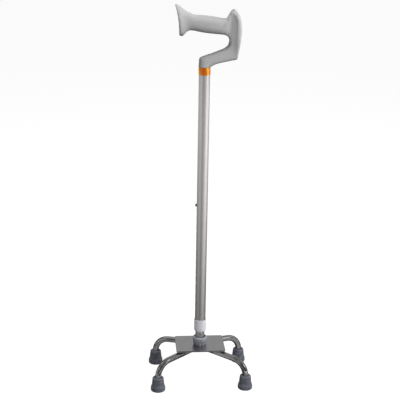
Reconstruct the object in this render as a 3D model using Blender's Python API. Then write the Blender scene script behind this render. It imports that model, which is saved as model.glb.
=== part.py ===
"""A quad cane: an offset grip on a telescopic shaft, which stands on a plate with four bent legs.

Metres, +Z up. The origin is on the floor, under the shaft. The grip lies along X, and its open end
and the snap button face -X.
"""
import math

import bmesh
import bpy
import numpy as np
from mathutils import Matrix, Vector

# Clearances
SEAT = 0.0003  # between two pieces that touch or are pressed together
RING_CLEARANCE = 0.0002  # trim ring round the outer tube
SLIDE_CLEARANCE = 0.0003  # inner tube in outer tube
PIN_CLEARANCE = 0.0003  # button, bolt and cross pin in their holes
THREAD_CLEARANCE = 0.0003  # locking collar round the outer tube

# Tips and their steel washers
TIP_HEIGHT = 0.0296
TIP_BASE_RADIUS = 0.0150
TIP_SOLE_ROUND = 0.0022
TIP_BAND_HEIGHT = 0.0080
TIP_STEP_HEIGHT = 0.0140
TIP_STEP_RADIUS = 0.0128
TIP_TOP_RADIUS = 0.0112
TIP_SHOULDER = 0.0028
TIP_FLOOR = 0.006
TIP_MOUTH_FLARE = 0.0009
TIP_MOUTH_DEPTH = 0.006
TIP_GROOVE_RADIUS = 0.0075
TIP_GROOVE_WIDTH = 0.0016
TIP_GROOVE_DEPTH = 0.0012
TIP_WASHER_RADIUS = 0.0060
TIP_WASHER_THICKNESS = 0.0015

# Where the tips stand
TIP_X = 0.0907
TIP_Y = 0.0639

# Legs
LEG_RADIUS = 0.00635
LEG_WALL = 0.0012
LEG_BEND_RADIUS = 0.031
LEG_DROOP = math.radians(4.0)
FRONT_LEG_START = (0.0186, -0.0086)
BACK_LEG_START = (0.0180, 0.0310)

# Plate
PLATE_WIDTH = 0.1024
PLATE_DEPTH = 0.0762
PLATE_SETBACK = 0.0014  # of the plate's middle behind the shaft's axis
PLATE_TOP = 0.0733
PLATE_THICKNESS = 0.0030
PLATE_CORNER = 0.0040

# Bolt, washers and threaded insert that hold the shaft on the plate
BOLT_RADIUS = 0.0040
BOLT_HEAD_ACROSS_FLATS = 0.0130
BOLT_HEAD_HEIGHT = 0.0053
BOLT_GRIP = 0.0160  # how far it reaches into the insert
WASHER_RADIUS = 0.0080
WASHER_THICKNESS = 0.0016
SPRING_WASHER_RADIUS = 0.0066
SPRING_WASHER_THICKNESS = 0.0020
SPRING_WASHER_SLOT = 0.0010
INSERT_LENGTH = 0.0220

# Socket that seats the shaft on the plate
SOCKET_RADIUS = 0.0151
SOCKET_FOOT_RADIUS = 0.0131
SOCKET_HEIGHT = 0.0178
SOCKET_FLOOR = 0.0040
SOCKET_ROUND = 0.0040
SOCKET_RECESS_WIDTH = 0.0015
SOCKET_RECESS_DEPTH = 0.0030
FLUTES = 10
FLUTE_RADIUS = 0.0016
FLUTE_TOP = 0.0095
FLUTE_DEPTH = 0.0011
FLUTE_END_RADIUS = 0.0007
FLUTE_TURN = 0.86  # of the flutes' spacing, from +X

# Tubes
INNER_TUBE_RADIUS = 0.009525
INNER_TUBE_WALL = 0.0012
INNER_TUBE_TOP = 0.4600
OUTER_TUBE_WALL = 0.0013
OUTER_TUBE_BOTTOM = 0.1120
OUTER_TUBE_TOP = 0.6632
GUIDE_FLANGE = 0.0025
GUIDE_STEM = 0.0140
GUIDE_BORE = 0.0045

# Snap button, its spring and its row of holes
BUTTON_Z = 0.3810
BUTTON_RADIUS = 0.0030
BUTTON_PROUD = 0.0035
BUTTON_FLANGE_RADIUS = 0.0038
BUTTON_FLANGE_THICKNESS = 0.0009
BUTTON_STUB_RADIUS = 0.0012
BUTTON_STUB_LENGTH = 0.0014
BUTTON_DOME = 78.0  # degrees from the dome's foot to its flat top
HOLES = 13
HOLE_PITCH = 0.0190
SPRING_WIDTH = 0.0060
SPRING_THICKNESS = 0.0005
SPRING_LENGTH = 0.0460
SPRING_BEND_RADIUS = 0.0052
SPRING_OVERHANG = 0.0050

# Locking collar and the split bush that it squeezes
COLLAR_TOP = 0.1300
COLLAR_BOTTOM = 0.1030
COLLAR_RADIUS = 0.0125
COLLAR_TAPER = 0.0060
COLLAR_LIP_RADIUS = 0.0107
COLLAR_LIP = 0.0012
COLLAR_ROUND = 0.0008
BUSH_WALL = 0.0012
BUSH_SLIT = 0.0012
BUSH_TAPER = 0.0025
BUSH_NOSE = 0.0004
COLLAR_SEAT = 0.0007  # how far the collar narrows under the bush

# Trim ring and cross pin
RING_HEIGHT = 0.0152
RING_WALL = 0.0005
CROSS_PIN_RADIUS = 0.0018
CROSS_PIN_INSET = 0.0003
SPIGOT_LENGTH = 0.0480
CHAMFER = 0.0006

# How finely round things are faceted
TUBE_SIDES = 32
LEG_SIDES = 16
LEG_BEND_STEPS = 9
TIP_SIDES = 24
SMALL_SIDES = 16
HOLE_SIDES = 14
HANDLE_SIDES = 28
HANDLE_STEPS = 2
GUARD_RIM_SIDES = 4
FLUTE_SIDES = 10
EYE_SIDES = 12
TIP_BLEND_STEPS = 3
COLLAR_STEPS = 4
SPRING_BEND_STEPS = 8

# Sizes that follow
PLATE_UNDERSIDE = PLATE_TOP - PLATE_THICKNESS
OUTER_TUBE_BORE = INNER_TUBE_RADIUS + SLIDE_CLEARANCE
OUTER_TUBE_RADIUS = OUTER_TUBE_BORE + OUTER_TUBE_WALL
INNER_TUBE_BORE = INNER_TUBE_RADIUS - INNER_TUBE_WALL
SOCKET_BOTTOM = PLATE_TOP + SEAT
INNER_TUBE_BOTTOM = SOCKET_BOTTOM + SOCKET_FLOOR + SEAT
BUTTON_HOLE_RADIUS = BUTTON_RADIUS + PIN_CLEARANCE
BOLT_HOLE_RADIUS = BOLT_RADIUS + PIN_CLEARANCE
CROSS_HOLE_RADIUS = CROSS_PIN_RADIUS + PIN_CLEARANCE
HANDLE_BOTTOM = OUTER_TUBE_TOP + SEAT
RING_TOP = HANDLE_BOTTOM - SEAT
RING_Z = RING_TOP - RING_HEIGHT / 2
TIP_BORE_RADIUS = LEG_RADIUS + SEAT
LEG_END = TIP_FLOOR + 2 * SEAT + TIP_WASHER_THICKNESS


def finish(name):
    """A Principled BSDF per sub-part: colour, roughness and how metallic it is."""
    looks = {
        "grip_plastic": ((0.33, 0.33, 0.34), 0.45, 0.0),
        "orange_trim": ((0.80, 0.33, 0.02), 0.25, 0.6),
        "satin_aluminium": ((0.62, 0.61, 0.60), 0.32, 1.0),
        "collar_plastic": ((0.46, 0.45, 0.49), 0.40, 0.0),
        "chrome": ((0.55, 0.55, 0.56), 0.12, 1.0),
        "plate_chrome": ((0.42, 0.42, 0.43), 0.30, 1.0),
        "dark_rubber": ((0.055, 0.062, 0.075), 0.65, 0.0),
        "socket_rubber": ((0.050, 0.060, 0.068), 0.50, 0.0),
        "zinc_steel": ((0.50, 0.50, 0.50), 0.35, 1.0),
        "spring_steel": ((0.35, 0.35, 0.37), 0.30, 1.0),
        "nylon": ((0.10, 0.10, 0.11), 0.50, 0.0),
        "button_steel": ((0.40, 0.36, 0.32), 0.30, 1.0),
    }
    material = bpy.data.materials.get(name)
    if material is None:
        colour, roughness, metallic = looks[name]
        material = bpy.data.materials.new(name)
        material.use_nodes = True
        shader = material.node_tree.nodes["Principled BSDF"]
        shader.inputs["Base Color"].default_value = (*colour, 1.0)
        shader.inputs["Roughness"].default_value = roughness
        shader.inputs["Metallic"].default_value = metallic
    return material


def clear_scene():
    for thing in list(bpy.data.objects):
        bpy.data.objects.remove(thing, do_unlink=True)


def add_object(name, bm, look=None, at=(0.0, 0.0, 0.0), sharp=math.radians(35)):
    """Makes an object of a bmesh, with its origin at the given place and its faces pointing out."""
    bmesh.ops.remove_doubles(bm, verts=bm.verts, dist=1e-7)
    bmesh.ops.recalc_face_normals(bm, faces=bm.faces)
    mesh = bpy.data.meshes.new(name)
    bm.to_mesh(mesh)
    bm.free()
    mesh.shade_smooth()
    mesh.set_sharp_from_angle(angle=sharp)
    thing = bpy.data.objects.new(name, mesh)
    thing.location = at
    if look:
        mesh.materials.append(finish(look))
    bpy.context.scene.collection.objects.link(thing)
    return thing


def ring_points(radius, sides, z):
    turn = 2 * math.pi / sides
    return [Vector((radius * math.cos(k * turn), radius * math.sin(k * turn), z)) for k in range(sides)]


def bridge(bm, lower, upper):
    """Quads between two closed rings of as many points."""
    for k in range(len(lower)):
        n = (k + 1) % len(lower)
        bm.faces.new((lower[k], lower[n], upper[n], upper[k]))


def turned(profile, sides, closed=False):
    """A bmesh turned about Z from a profile of (radius, z) points.

    A closed profile makes a ring with a bore, and an open one gets a flat cap at each end.
    """
    bm = bmesh.new()
    rings = [[bm.verts.new(p) for p in ring_points(r, sides, z)] for r, z in profile]
    for lower, upper in zip(rings, rings[1:]):
        bridge(bm, lower, upper)
    if closed:
        bridge(bm, rings[-1], rings[0])
    else:
        bm.faces.new(rings[0])
        bm.faces.new(rings[-1])
    return bm


def arc(centre, radius, start, end, steps):
    """Points (radius, z) along an arc, with its angles in degrees from the outward direction."""
    angles = [math.radians(start + (end - start) * k / steps) for k in range(steps + 1)]
    return [(centre[0] + radius * math.cos(a), centre[1] + radius * math.sin(a)) for a in angles]


def tube(outer, inner, bottom, top, sides):
    return turned([(outer, bottom), (outer, top), (inner, top), (inner, bottom)], sides, closed=True)


def lay_along(bm, direction):
    """Turns a bmesh made along +Z so that it runs along another direction."""
    turn = Vector((0, 0, 1)).rotation_difference(Vector(direction)).to_matrix().to_4x4()
    bmesh.ops.transform(bm, matrix=turn, verts=bm.verts)
    return bm


def rod(radius, length, direction, sides):
    """A cylinder centred on the origin along a direction."""
    bm = turned([(radius, -length / 2), (radius, length / 2)], sides)
    return lay_along(bm, direction)


def cut(target, cutter):
    """Takes the cutter's shape out of the target, and leaves the cutter as a hidden guide."""
    cutter.hide_render = True
    cutter.display_type = "WIRE"
    modifier = target.modifiers.new(f"cut_{cutter.name}", "BOOLEAN")
    modifier.operation = "DIFFERENCE"
    modifier.solver = "EXACT"
    modifier.object = cutter


def join_to(target, addition):
    """Joins a guide's shape to the target."""
    addition.hide_render = True
    addition.display_type = "WIRE"
    modifier = target.modifiers.new(f"join_{addition.name}", "BOOLEAN")
    modifier.operation = "UNION"
    modifier.solver = "EXACT"
    modifier.object = addition


def drill(target, name, radius, length, direction, at, sides=HOLE_SIDES):
    cut(target, add_object(f"{name}_cutter", rod(radius, length, direction, sides), at=at))


def tip_profile():
    """Outer and inner outline of a rubber tip, as (radius, z) from the floor up."""
    outer = arc((TIP_BASE_RADIUS - TIP_SOLE_ROUND, TIP_SOLE_ROUND), TIP_SOLE_ROUND, -90, 0, 3)
    for k in range(TIP_BLEND_STEPS + 1):
        share = k / TIP_BLEND_STEPS
        inward = (1 - math.cos(math.pi * share)) / 2
        radius = TIP_BASE_RADIUS - inward * (TIP_BASE_RADIUS - TIP_STEP_RADIUS)
        outer.append((radius, TIP_BAND_HEIGHT + share * (TIP_STEP_HEIGHT - TIP_BAND_HEIGHT)))
    outer += arc((TIP_TOP_RADIUS - TIP_SHOULDER, TIP_HEIGHT - TIP_SHOULDER), TIP_SHOULDER, 0, 90, 3)
    inner = [
        (TIP_BORE_RADIUS + TIP_MOUTH_FLARE, TIP_HEIGHT),
        (TIP_BORE_RADIUS, TIP_HEIGHT - TIP_MOUTH_DEPTH),
        (TIP_BORE_RADIUS, TIP_FLOOR),
    ]
    return outer + inner


def tread_groove():
    """A ring groove moulded in a tip's sole, as a cutter."""
    inner = TIP_GROOVE_RADIUS - TIP_GROOVE_WIDTH / 2
    outer = TIP_GROOVE_RADIUS + TIP_GROOVE_WIDTH / 2
    return tube(outer, inner, -TIP_GROOVE_DEPTH, TIP_GROOVE_DEPTH, TIP_SIDES)


def make_tip(corner, x, y):
    """A rubber tip at a base corner, with the steel washer that the leg stands on."""
    bm = turned(tip_profile(), TIP_SIDES)
    tip = add_object(f"tip_{corner}", bm, "dark_rubber", at=(x, y, 0))
    cut(tip, add_object(f"tread_{corner}_cutter", tread_groove(), at=(x, y, 0)))
    disc = turned([(TIP_WASHER_RADIUS, 0), (TIP_WASHER_RADIUS, TIP_WASHER_THICKNESS)], SMALL_SIDES)
    add_object(f"tip_washer_{corner}", disc, "zinc_steel", at=(x, y, TIP_FLOOR + SEAT))


def leg_route(start, end):
    """Centre line of a leg: out and slightly down from under the plate, then bent to upright."""
    start, end = Vector(start), Vector(end)
    run = (end - start).length
    outward = (end - start).normalized()
    straight = run - LEG_BEND_RADIUS * (1 - math.sin(LEG_DROOP))
    top = PLATE_UNDERSIDE - SEAT - LEG_RADIUS / math.cos(LEG_DROOP)
    bend_top = top - straight * math.tan(LEG_DROOP)
    side = [(0.0, top)]
    for k in range(LEG_BEND_STEPS + 1):
        angle = LEG_DROOP + (math.pi / 2 - LEG_DROOP) * k / LEG_BEND_STEPS
        out = straight + LEG_BEND_RADIUS * (math.sin(angle) - math.sin(LEG_DROOP))
        side.append((out, bend_top - LEG_BEND_RADIUS * (math.cos(LEG_DROOP) - math.cos(angle))))
    side.append((run, LEG_END))
    return [Vector((start.x + outward.x * s, start.y + outward.y * s, z)) for s, z in side], outward


def swept_tube(route, outward, outer, inner, sides):
    """A round tube along a route that lies in one upright plane."""
    across = Vector((-outward.y, outward.x, 0))
    turn = 2 * math.pi / sides
    bm = bmesh.new()
    shells = []
    for radius in (outer, inner):
        rings = []
        for k, centre in enumerate(route):
            before = route[max(k - 1, 0)]
            after = route[min(k + 1, len(route) - 1)]
            ahead = (after - before).normalized()
            up = across.cross(ahead)
            spokes = [math.cos(n * turn) * across + math.sin(n * turn) * up for n in range(sides)]
            rings.append([bm.verts.new(centre + radius * spoke) for spoke in spokes])
        for lower, upper in zip(rings, rings[1:]):
            bridge(bm, lower, upper)
        shells.append(rings)
    bridge(bm, shells[0][0], shells[1][0])
    bridge(bm, shells[0][-1], shells[1][-1])
    return bm


def make_leg(corner, start, x, y):
    """A chromed steel tube from under the plate down into its tip."""
    route, outward = leg_route(start, (x, y))
    origin = Vector((x, y, 0))
    route = [p - origin for p in route]
    bm = swept_tube(route, outward, LEG_RADIUS, LEG_RADIUS - LEG_WALL, LEG_SIDES)
    add_object(f"leg_{corner}", bm, "chrome", at=origin)


def make_base_corners():
    for depth, y, start in (("front", -TIP_Y, FRONT_LEG_START), ("back", TIP_Y, BACK_LEG_START)):
        for hand, side in (("left", -1), ("right", 1)):
            corner = f"{depth}_{hand}"
            x = side * TIP_X
            make_tip(corner, x, y)
            make_leg(corner, (side * start[0], start[1]), x, y)


def make_plate():
    """A flat steel plate with rounded corners, drilled for the shaft's bolt."""
    bm = bmesh.new()
    half_x = PLATE_WIDTH / 2 - PLATE_CORNER
    half_y = PLATE_DEPTH / 2 - PLATE_CORNER
    steps = 4
    outline = []
    for quarter, (sx, sy) in enumerate(((1, 1), (-1, 1), (-1, -1), (1, -1))):
        for k in range(steps + 1):
            angle = math.pi / 2 * (quarter + k / steps)
            x = sx * half_x + PLATE_CORNER * math.cos(angle)
            y = PLATE_SETBACK + sy * half_y + PLATE_CORNER * math.sin(angle)
            outline.append(bm.verts.new((x, y, PLATE_UNDERSIDE)))
    face = bm.faces.new(outline)
    walls = bmesh.ops.extrude_face_region(bm, geom=[face])
    moved = [v for v in walls["geom"] if isinstance(v, bmesh.types.BMVert)]
    bmesh.ops.translate(bm, verts=moved, vec=(0, 0, PLATE_THICKNESS))
    plate = add_object("base_plate", bm, "plate_chrome")
    drill(plate, "bolt_hole", BOLT_HOLE_RADIUS, 3 * PLATE_THICKNESS, (0, 0, 1), (0, 0, PLATE_TOP))


def make_socket():
    """A moulded rubber socket round the shaft's foot, with flutes and with a floor under the tube."""
    top = SOCKET_HEIGHT
    lip = INNER_TUBE_RADIUS + SOCKET_RECESS_WIDTH
    bore = INNER_TUBE_RADIUS + SEAT
    profile = [(SOCKET_FOOT_RADIUS, 0), (SOCKET_RADIUS, FLUTE_TOP)]
    round_x = min(SOCKET_ROUND, SOCKET_RADIUS - lip - SEAT)
    profile += arc((SOCKET_RADIUS - round_x, top - round_x), round_x, 0, 90, 5)
    profile += [(lip, top), (lip, top - SOCKET_RECESS_DEPTH), (bore, top - SOCKET_RECESS_DEPTH)]
    profile += [(bore, SOCKET_FLOOR), (BOLT_HOLE_RADIUS, SOCKET_FLOOR), (BOLT_HOLE_RADIUS, 0)]
    body = turned(profile, TUBE_SIDES, closed=True)
    socket = add_object("shaft_socket", body, "socket_rubber", at=(0, 0, SOCKET_BOTTOM))
    bm = bmesh.new()
    for k in range(FLUTES):
        angle = 2 * math.pi * (k + FLUTE_TURN) / FLUTES
        shoulder = (FLUTE_RADIUS, FLUTE_TOP - FLUTE_RADIUS)
        flute = turned([(FLUTE_RADIUS, -SEAT), shoulder, (FLUTE_END_RADIUS, FLUTE_TOP)], FLUTE_SIDES)
        reach = SOCKET_FOOT_RADIUS - FLUTE_DEPTH + FLUTE_RADIUS
        place = Matrix.Translation((reach * math.cos(angle), reach * math.sin(angle), 0))
        bmesh.ops.transform(flute, matrix=place, verts=flute.verts)
        scrap = bpy.data.meshes.new("flute")
        flute.to_mesh(scrap)
        flute.free()
        bm.from_mesh(scrap)
        bpy.data.meshes.remove(scrap)
    cut(socket, add_object("flutes_cutter", bm, at=(0, 0, SOCKET_BOTTOM)))


def make_shaft_fixing():
    """The hex bolt, washer and spring washer under the plate, and the threaded insert in the tube."""
    washer_top = PLATE_UNDERSIDE - SEAT
    spring_top = washer_top - WASHER_THICKNESS - SEAT
    head_top = spring_top - SPRING_WASHER_THICKNESS - SEAT
    ring = tube(WASHER_RADIUS, BOLT_HOLE_RADIUS, -WASHER_THICKNESS, 0, SMALL_SIDES)
    add_object("base_washer", ring, "zinc_steel", at=(0, 0, washer_top))
    ring = tube(SPRING_WASHER_RADIUS, BOLT_HOLE_RADIUS, -SPRING_WASHER_THICKNESS, 0, SMALL_SIDES)
    split = add_object("spring_washer", ring, "zinc_steel", at=(0, 0, spring_top))
    slot = bmesh.new()
    bmesh.ops.create_cube(slot, size=1.0)
    size = (SPRING_WASHER_RADIUS, SPRING_WASHER_SLOT, 4 * SPRING_WASHER_THICKNESS)
    bmesh.ops.scale(slot, vec=size, verts=slot.verts)
    cut(split, add_object("washer_slot_cutter", slot, at=(SPRING_WASHER_RADIUS, 0, spring_top)))
    head_radius = BOLT_HEAD_ACROSS_FLATS / math.sqrt(3)
    bm = turned([(head_radius, -BOLT_HEAD_HEIGHT), (head_radius, 0)], 6)
    bolt = add_object("base_bolt", bm, "zinc_steel", at=(0, 0, head_top))
    reach = INNER_TUBE_BOTTOM + BOLT_GRIP - head_top
    shank = turned([(BOLT_RADIUS, -BOLT_HEAD_HEIGHT / 2), (BOLT_RADIUS, reach)], SMALL_SIDES)
    join_to(bolt, add_object("bolt_shank", shank, at=(0, 0, head_top)))
    plug = INNER_TUBE_BORE - SEAT
    bm = turned(
        [(plug, 0), (plug, INSERT_LENGTH), (BOLT_HOLE_RADIUS, INSERT_LENGTH), (BOLT_HOLE_RADIUS, 0)],
        TUBE_SIDES,
        closed=True,
    )
    add_object("tube_insert", bm, "zinc_steel", at=(0, 0, INNER_TUBE_BOTTOM))


def make_inner_tube():
    """The lower shaft tube, with one hole for the snap button and a guide bush in its top end."""
    bm = tube(INNER_TUBE_RADIUS, INNER_TUBE_BORE, INNER_TUBE_BOTTOM, INNER_TUBE_TOP, TUBE_SIDES)
    inner = add_object("inner_tube", bm, "satin_aluminium")
    place = (-INNER_TUBE_RADIUS, 0, BUTTON_Z)
    drill(inner, "inner_hole", BUTTON_HOLE_RADIUS, INNER_TUBE_RADIUS, (1, 0, 0), place)
    stem = INNER_TUBE_BORE - SEAT
    profile = [
        (stem, -GUIDE_STEM),
        (stem, 0),
        (INNER_TUBE_RADIUS, 0),
        (INNER_TUBE_RADIUS, GUIDE_FLANGE),
        (GUIDE_BORE, GUIDE_FLANGE),
        (GUIDE_BORE, -GUIDE_STEM),
    ]
    bush = turned(profile, TUBE_SIDES, closed=True)
    add_object("guide_bush", bush, "nylon", at=(0, 0, INNER_TUBE_TOP + SEAT))


def make_outer_tube():
    """The upper shaft tube: a row of holes for the snap button, and a hole for the cross pin."""
    bm = tube(OUTER_TUBE_RADIUS, OUTER_TUBE_BORE, OUTER_TUBE_BOTTOM, OUTER_TUBE_TOP, TUBE_SIDES)
    outer = add_object("outer_tube", bm, "satin_aluminium")
    for k in range(HOLES):
        place = (-OUTER_TUBE_RADIUS, 0, BUTTON_Z - k * HOLE_PITCH)
        drill(outer, f"hole_{k}", BUTTON_HOLE_RADIUS, OUTER_TUBE_RADIUS, (1, 0, 0), place)
    drill(outer, "cross_hole", CROSS_HOLE_RADIUS, 3 * OUTER_TUBE_RADIUS, (0, 1, 0), (0, 0, RING_Z))


def button_flange_face():
    """How far from the axis the button's flange stops against the inner tube's bore."""
    return math.sqrt(INNER_TUBE_BORE**2 - BUTTON_FLANGE_RADIUS**2) - SEAT


def make_button():
    """The domed steel button. It is pressed along +X, with its origin on its own axis at the shaft."""
    tip = OUTER_TUBE_RADIUS + BUTTON_PROUD
    face = button_flange_face()
    back = face - BUTTON_FLANGE_THICKNESS
    dome = arc((0, tip - BUTTON_RADIUS), BUTTON_RADIUS, 0, BUTTON_DOME, 4)
    profile = [
        (BUTTON_STUB_RADIUS, back - BUTTON_STUB_LENGTH),
        (BUTTON_STUB_RADIUS, back),
        (BUTTON_FLANGE_RADIUS, back),
        (BUTTON_FLANGE_RADIUS, face),
        (BUTTON_RADIUS, face),
    ]
    bm = lay_along(turned(profile + dome, SMALL_SIDES), (-1, 0, 0))
    add_object("snap_button", bm, "button_steel", at=(0, 0, BUTTON_Z))


def make_button_spring():
    """A bent strip of spring steel in the inner tube: one leg on the wall, one on the button."""
    half = SPRING_WIDTH / 2
    wall_side = math.sqrt(INNER_TUBE_BORE**2 - half**2) - SEAT - SPRING_THICKNESS / 2
    button_side = button_flange_face() - BUTTON_FLANGE_THICKNESS - SEAT - SPRING_THICKNESS / 2
    bend = SPRING_BEND_RADIUS
    route = [(wall_side, SPRING_OVERHANG)]
    for k in range(SPRING_BEND_STEPS + 1):
        angle = -math.pi * k / SPRING_BEND_STEPS
        x = wall_side - bend + bend * math.cos(angle)
        route.append((x, -SPRING_LENGTH + bend * math.sin(angle)))
    route += [(-button_side, 0.0), (-button_side, SPRING_OVERHANG)]
    bm = bmesh.new()
    edges = []
    for k, (x, z) in enumerate(route):
        before = Vector(route[max(k - 1, 0)])
        after = Vector(route[min(k + 1, len(route) - 1)])
        ahead = (after - before).normalized()
        off = Vector((ahead.y, -ahead.x)) * SPRING_THICKNESS / 2
        sides = ((off, -half), (off, half), (-off, half), (-off, -half))
        edges.append([bm.verts.new((x + s.x, y, z + s.y)) for s, y in sides])
    for lower, upper in zip(edges, edges[1:]):
        bridge(bm, lower, upper)
    bm.faces.new(edges[0])
    bm.faces.new(edges[-1])
    sharp = math.radians(60)
    spring = add_object("button_spring", bm, "spring_steel", at=(0, 0, BUTTON_Z), sharp=sharp)
    eye = BUTTON_STUB_RADIUS + PIN_CLEARANCE
    drill(spring, "spring_eye", eye, 4 * SPRING_THICKNESS, (1, 0, 0), (-button_side, 0, BUTTON_Z), EYE_SIDES)


def make_clamp_bush():
    """The split nylon bush between the outer tube's end and the collar's taper."""
    inside = INNER_TUBE_RADIUS + SEAT
    bottom = COLLAR_BOTTOM + COLLAR_LIP + SEAT
    top = OUTER_TUBE_BOTTOM - SEAT
    outside = inside + BUSH_WALL
    profile = [
        (inside + BUSH_NOSE, bottom),
        (outside, bottom + BUSH_TAPER),
        (outside, top),
        (inside, top),
        (inside, bottom),
    ]
    bush = add_object("clamp_bush", turned(profile, TUBE_SIDES, closed=True), "nylon")
    slot = bmesh.new()
    bmesh.ops.create_cube(slot, size=1.0)
    bmesh.ops.scale(slot, vec=(outside, BUSH_SLIT, 3 * (top - bottom)), verts=slot.verts)
    cut(bush, add_object("bush_slit_cutter", slot, at=(outside, 0, (top + bottom) / 2)))


def make_locking_collar():
    """The collar that screws onto the outer tube's end. It turns about the shaft's axis."""
    height = COLLAR_TOP - COLLAR_BOTTOM
    bore = OUTER_TUBE_RADIUS + THREAD_CLEARANCE
    lip_bore = INNER_TUBE_RADIUS + SEAT
    bush_room = INNER_TUBE_RADIUS + 2 * SEAT + BUSH_WALL
    profile = [(COLLAR_LIP_RADIUS - COLLAR_ROUND, 0)]
    for k in range(COLLAR_STEPS + 1):
        angle = math.pi / 2 * k / COLLAR_STEPS
        out = COLLAR_LIP_RADIUS + (COLLAR_RADIUS - COLLAR_LIP_RADIUS) * math.sin(angle)
        profile.append((out, COLLAR_ROUND + (COLLAR_TAPER - COLLAR_ROUND) * (1 - math.cos(angle))))
    profile += arc((COLLAR_RADIUS - COLLAR_ROUND, height - COLLAR_ROUND), COLLAR_ROUND, 0, 90, 2)
    tube_room = OUTER_TUBE_BOTTOM - COLLAR_BOTTOM - SEAT
    profile += [(bore, height), (bore, tube_room), (bush_room, tube_room - SEAT)]
    profile += [(bush_room, COLLAR_LIP + BUSH_TAPER + SEAT / 2), (bush_room - COLLAR_SEAT, COLLAR_LIP)]
    profile += [(lip_bore, COLLAR_LIP), (lip_bore, 0)]
    bm = turned(profile, TUBE_SIDES, closed=True)
    add_object("locking_collar", bm, "collar_plastic", at=(0, 0, COLLAR_BOTTOM))


def make_trim_ring():
    """The orange ring over the joint of tube and handle, which hides the cross pin."""
    inside = OUTER_TUBE_RADIUS + RING_CLEARANCE
    ring = tube(inside + RING_WALL, inside, -RING_HEIGHT, 0, TUBE_SIDES)
    add_object("trim_ring", ring, "orange_trim", at=(0, 0, RING_TOP))
    pin = rod(CROSS_PIN_RADIUS, 2 * (OUTER_TUBE_RADIUS - CROSS_PIN_INSET), (0, 1, 0), SMALL_SIDES)
    add_object("cross_pin", pin, "zinc_steel", at=(0, 0, RING_Z))


# The handle's side view, in metres from the shaft's axis and up from the handle's lower end.
# Each section runs from a point of the inner outline, which faces the fingers, to one of the outer
# outline. Then come its half depths at the two ends, its squareness at the two ends, the width of the
# guard's edge band, and how deep the guard's face is sunk beside that band.
HANDLE_SECTIONS = [
    ((-0.0119, 0.0000), (0.0119, 0.0000), 0.0119, 0.0119, 2.0, 2.0, 0.0022, 0),
    ((-0.0115, 0.0080), (0.0139, 0.0009), 0.0119, 0.0119, 2.0, 2.2, 0.0022, 0),
    ((-0.0106, 0.0155), (0.0180, 0.0035), 0.0119, 0.0119, 2.4, 2.6, 0.0022, 0),
    ((-0.0080, 0.0186), (0.0225, 0.0057), 0.0119, 0.0119, 2.9, 2.9, 0.0022, 0),
    ((0.0010, 0.0220), (0.0280, 0.0074), 0.0119, 0.0119, 3.2, 3.2, 0.0022, 0),
    ((0.0120, 0.0257), (0.0350, 0.0090), 0.0119, 0.0119, 3.4, 3.2, 0.0022, 0),
    ((0.0240, 0.0301), (0.0440, 0.0109), 0.0120, 0.0120, 3.6, 3.2, 0.0022, 0),
    ((0.0345, 0.0342), (0.0530, 0.0129), 0.0123, 0.0124, 3.8, 3.4, 0.0022, 0),
    ((0.0405, 0.0374), (0.0605, 0.0145), 0.0127, 0.0129, 4.2, 4.0, 0.0022, 0),
    ((0.0447, 0.0412), (0.0634, 0.0168), 0.0131, 0.0137, 5.0, 4.5, 0.0046, 0),
    ((0.0470, 0.0462), (0.0652, 0.0280), 0.0137, 0.0161, 5.8, 5.0, 0.0066, 0),
    ((0.0474, 0.0512), (0.0678, 0.0440), 0.0145, 0.0193, 6.2, 5.0, 0.0074, 0),
    ((0.0463, 0.0554), (0.0694, 0.0610), 0.0149, 0.0214, 6.2, 5.0, 0.0088, 0.0003),
    ((0.0442, 0.0585), (0.0697, 0.0758), 0.0149, 0.0222, 5.4, 5.0, 0.0106, 0.0011),
    ((0.0418, 0.0605), (0.0682, 0.0903), 0.0148, 0.0219, 4.6, 5.0, 0.0110, 0.0020),
    ((0.0397, 0.0615), (0.0645, 0.1015), 0.0146, 0.0206, 3.9, 4.8, 0.0094, 0.0030),
    ((0.0378, 0.0621), (0.0602, 0.1082), 0.0148, 0.0186, 3.5, 4.4, 0.0086, 0.0036),
    ((0.0360, 0.0625), (0.0555, 0.1109), 0.0150, 0.0170, 3.1, 4.2, 0.0084, 0.0038),
    ((0.0343, 0.0627), (0.0510, 0.1082), 0.0152, 0.0162, 2.8, 4.0, 0.0080, 0.0036),
    ((0.0325, 0.0629), (0.0467, 0.1009), 0.0153, 0.0156, 2.6, 3.6, 0.0082, 0.0024),
    ((0.0300, 0.0631), (0.0420, 0.0945), 0.0154, 0.0153, 2.4, 2.8, 0.0076, 0),
    ((0.0260, 0.0633), (0.0360, 0.0939), 0.0155, 0.0152, 2.2, 2.1, 0.0066, 0),
    ((0.0180, 0.0639), (0.0230, 0.0962), 0.0160, 0.0160, 2.0, 2.1, 0.0066, 0),
    ((0.0060, 0.0651), (0.0070, 0.0985), 0.0160, 0.0160, 2.0, 2.1, 0.0066, 0),
    ((-0.0090, 0.0673), (-0.0080, 0.0998), 0.0150, 0.0150, 2.0, 2.1, 0.0066, 0),
    ((-0.0210, 0.0697), (-0.0215, 0.1007), 0.0134, 0.0134, 2.0, 2.1, 0.0066, 0),
    ((-0.0290, 0.0704), (-0.0300, 0.1040), 0.0124, 0.0124, 2.0, 2.1, 0.0066, 0),
    ((-0.0355, 0.0676), (-0.0380, 0.1087), 0.0128, 0.0126, 2.0, 2.1, 0.0066, 0),
    ((-0.0410, 0.0616), (-0.0455, 0.1138), 0.0150, 0.0140, 2.1, 2.1, 0.0066, 0),
    ((-0.0440, 0.0597), (-0.0515, 0.1178), 0.0172, 0.0152, 2.2, 2.2, 0.0066, 0),
    ((-0.0475, 0.0598), (-0.0562, 0.1199), 0.0184, 0.0158, 2.2, 2.2, 0.0066, 0),
    ((-0.0498, 0.0604), (-0.0587, 0.1200), 0.0184, 0.0156, 2.2, 2.2, 0.0066, 0),
]
GUARD_FLARE = 1.7  # how hollow the guard's face is
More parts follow.
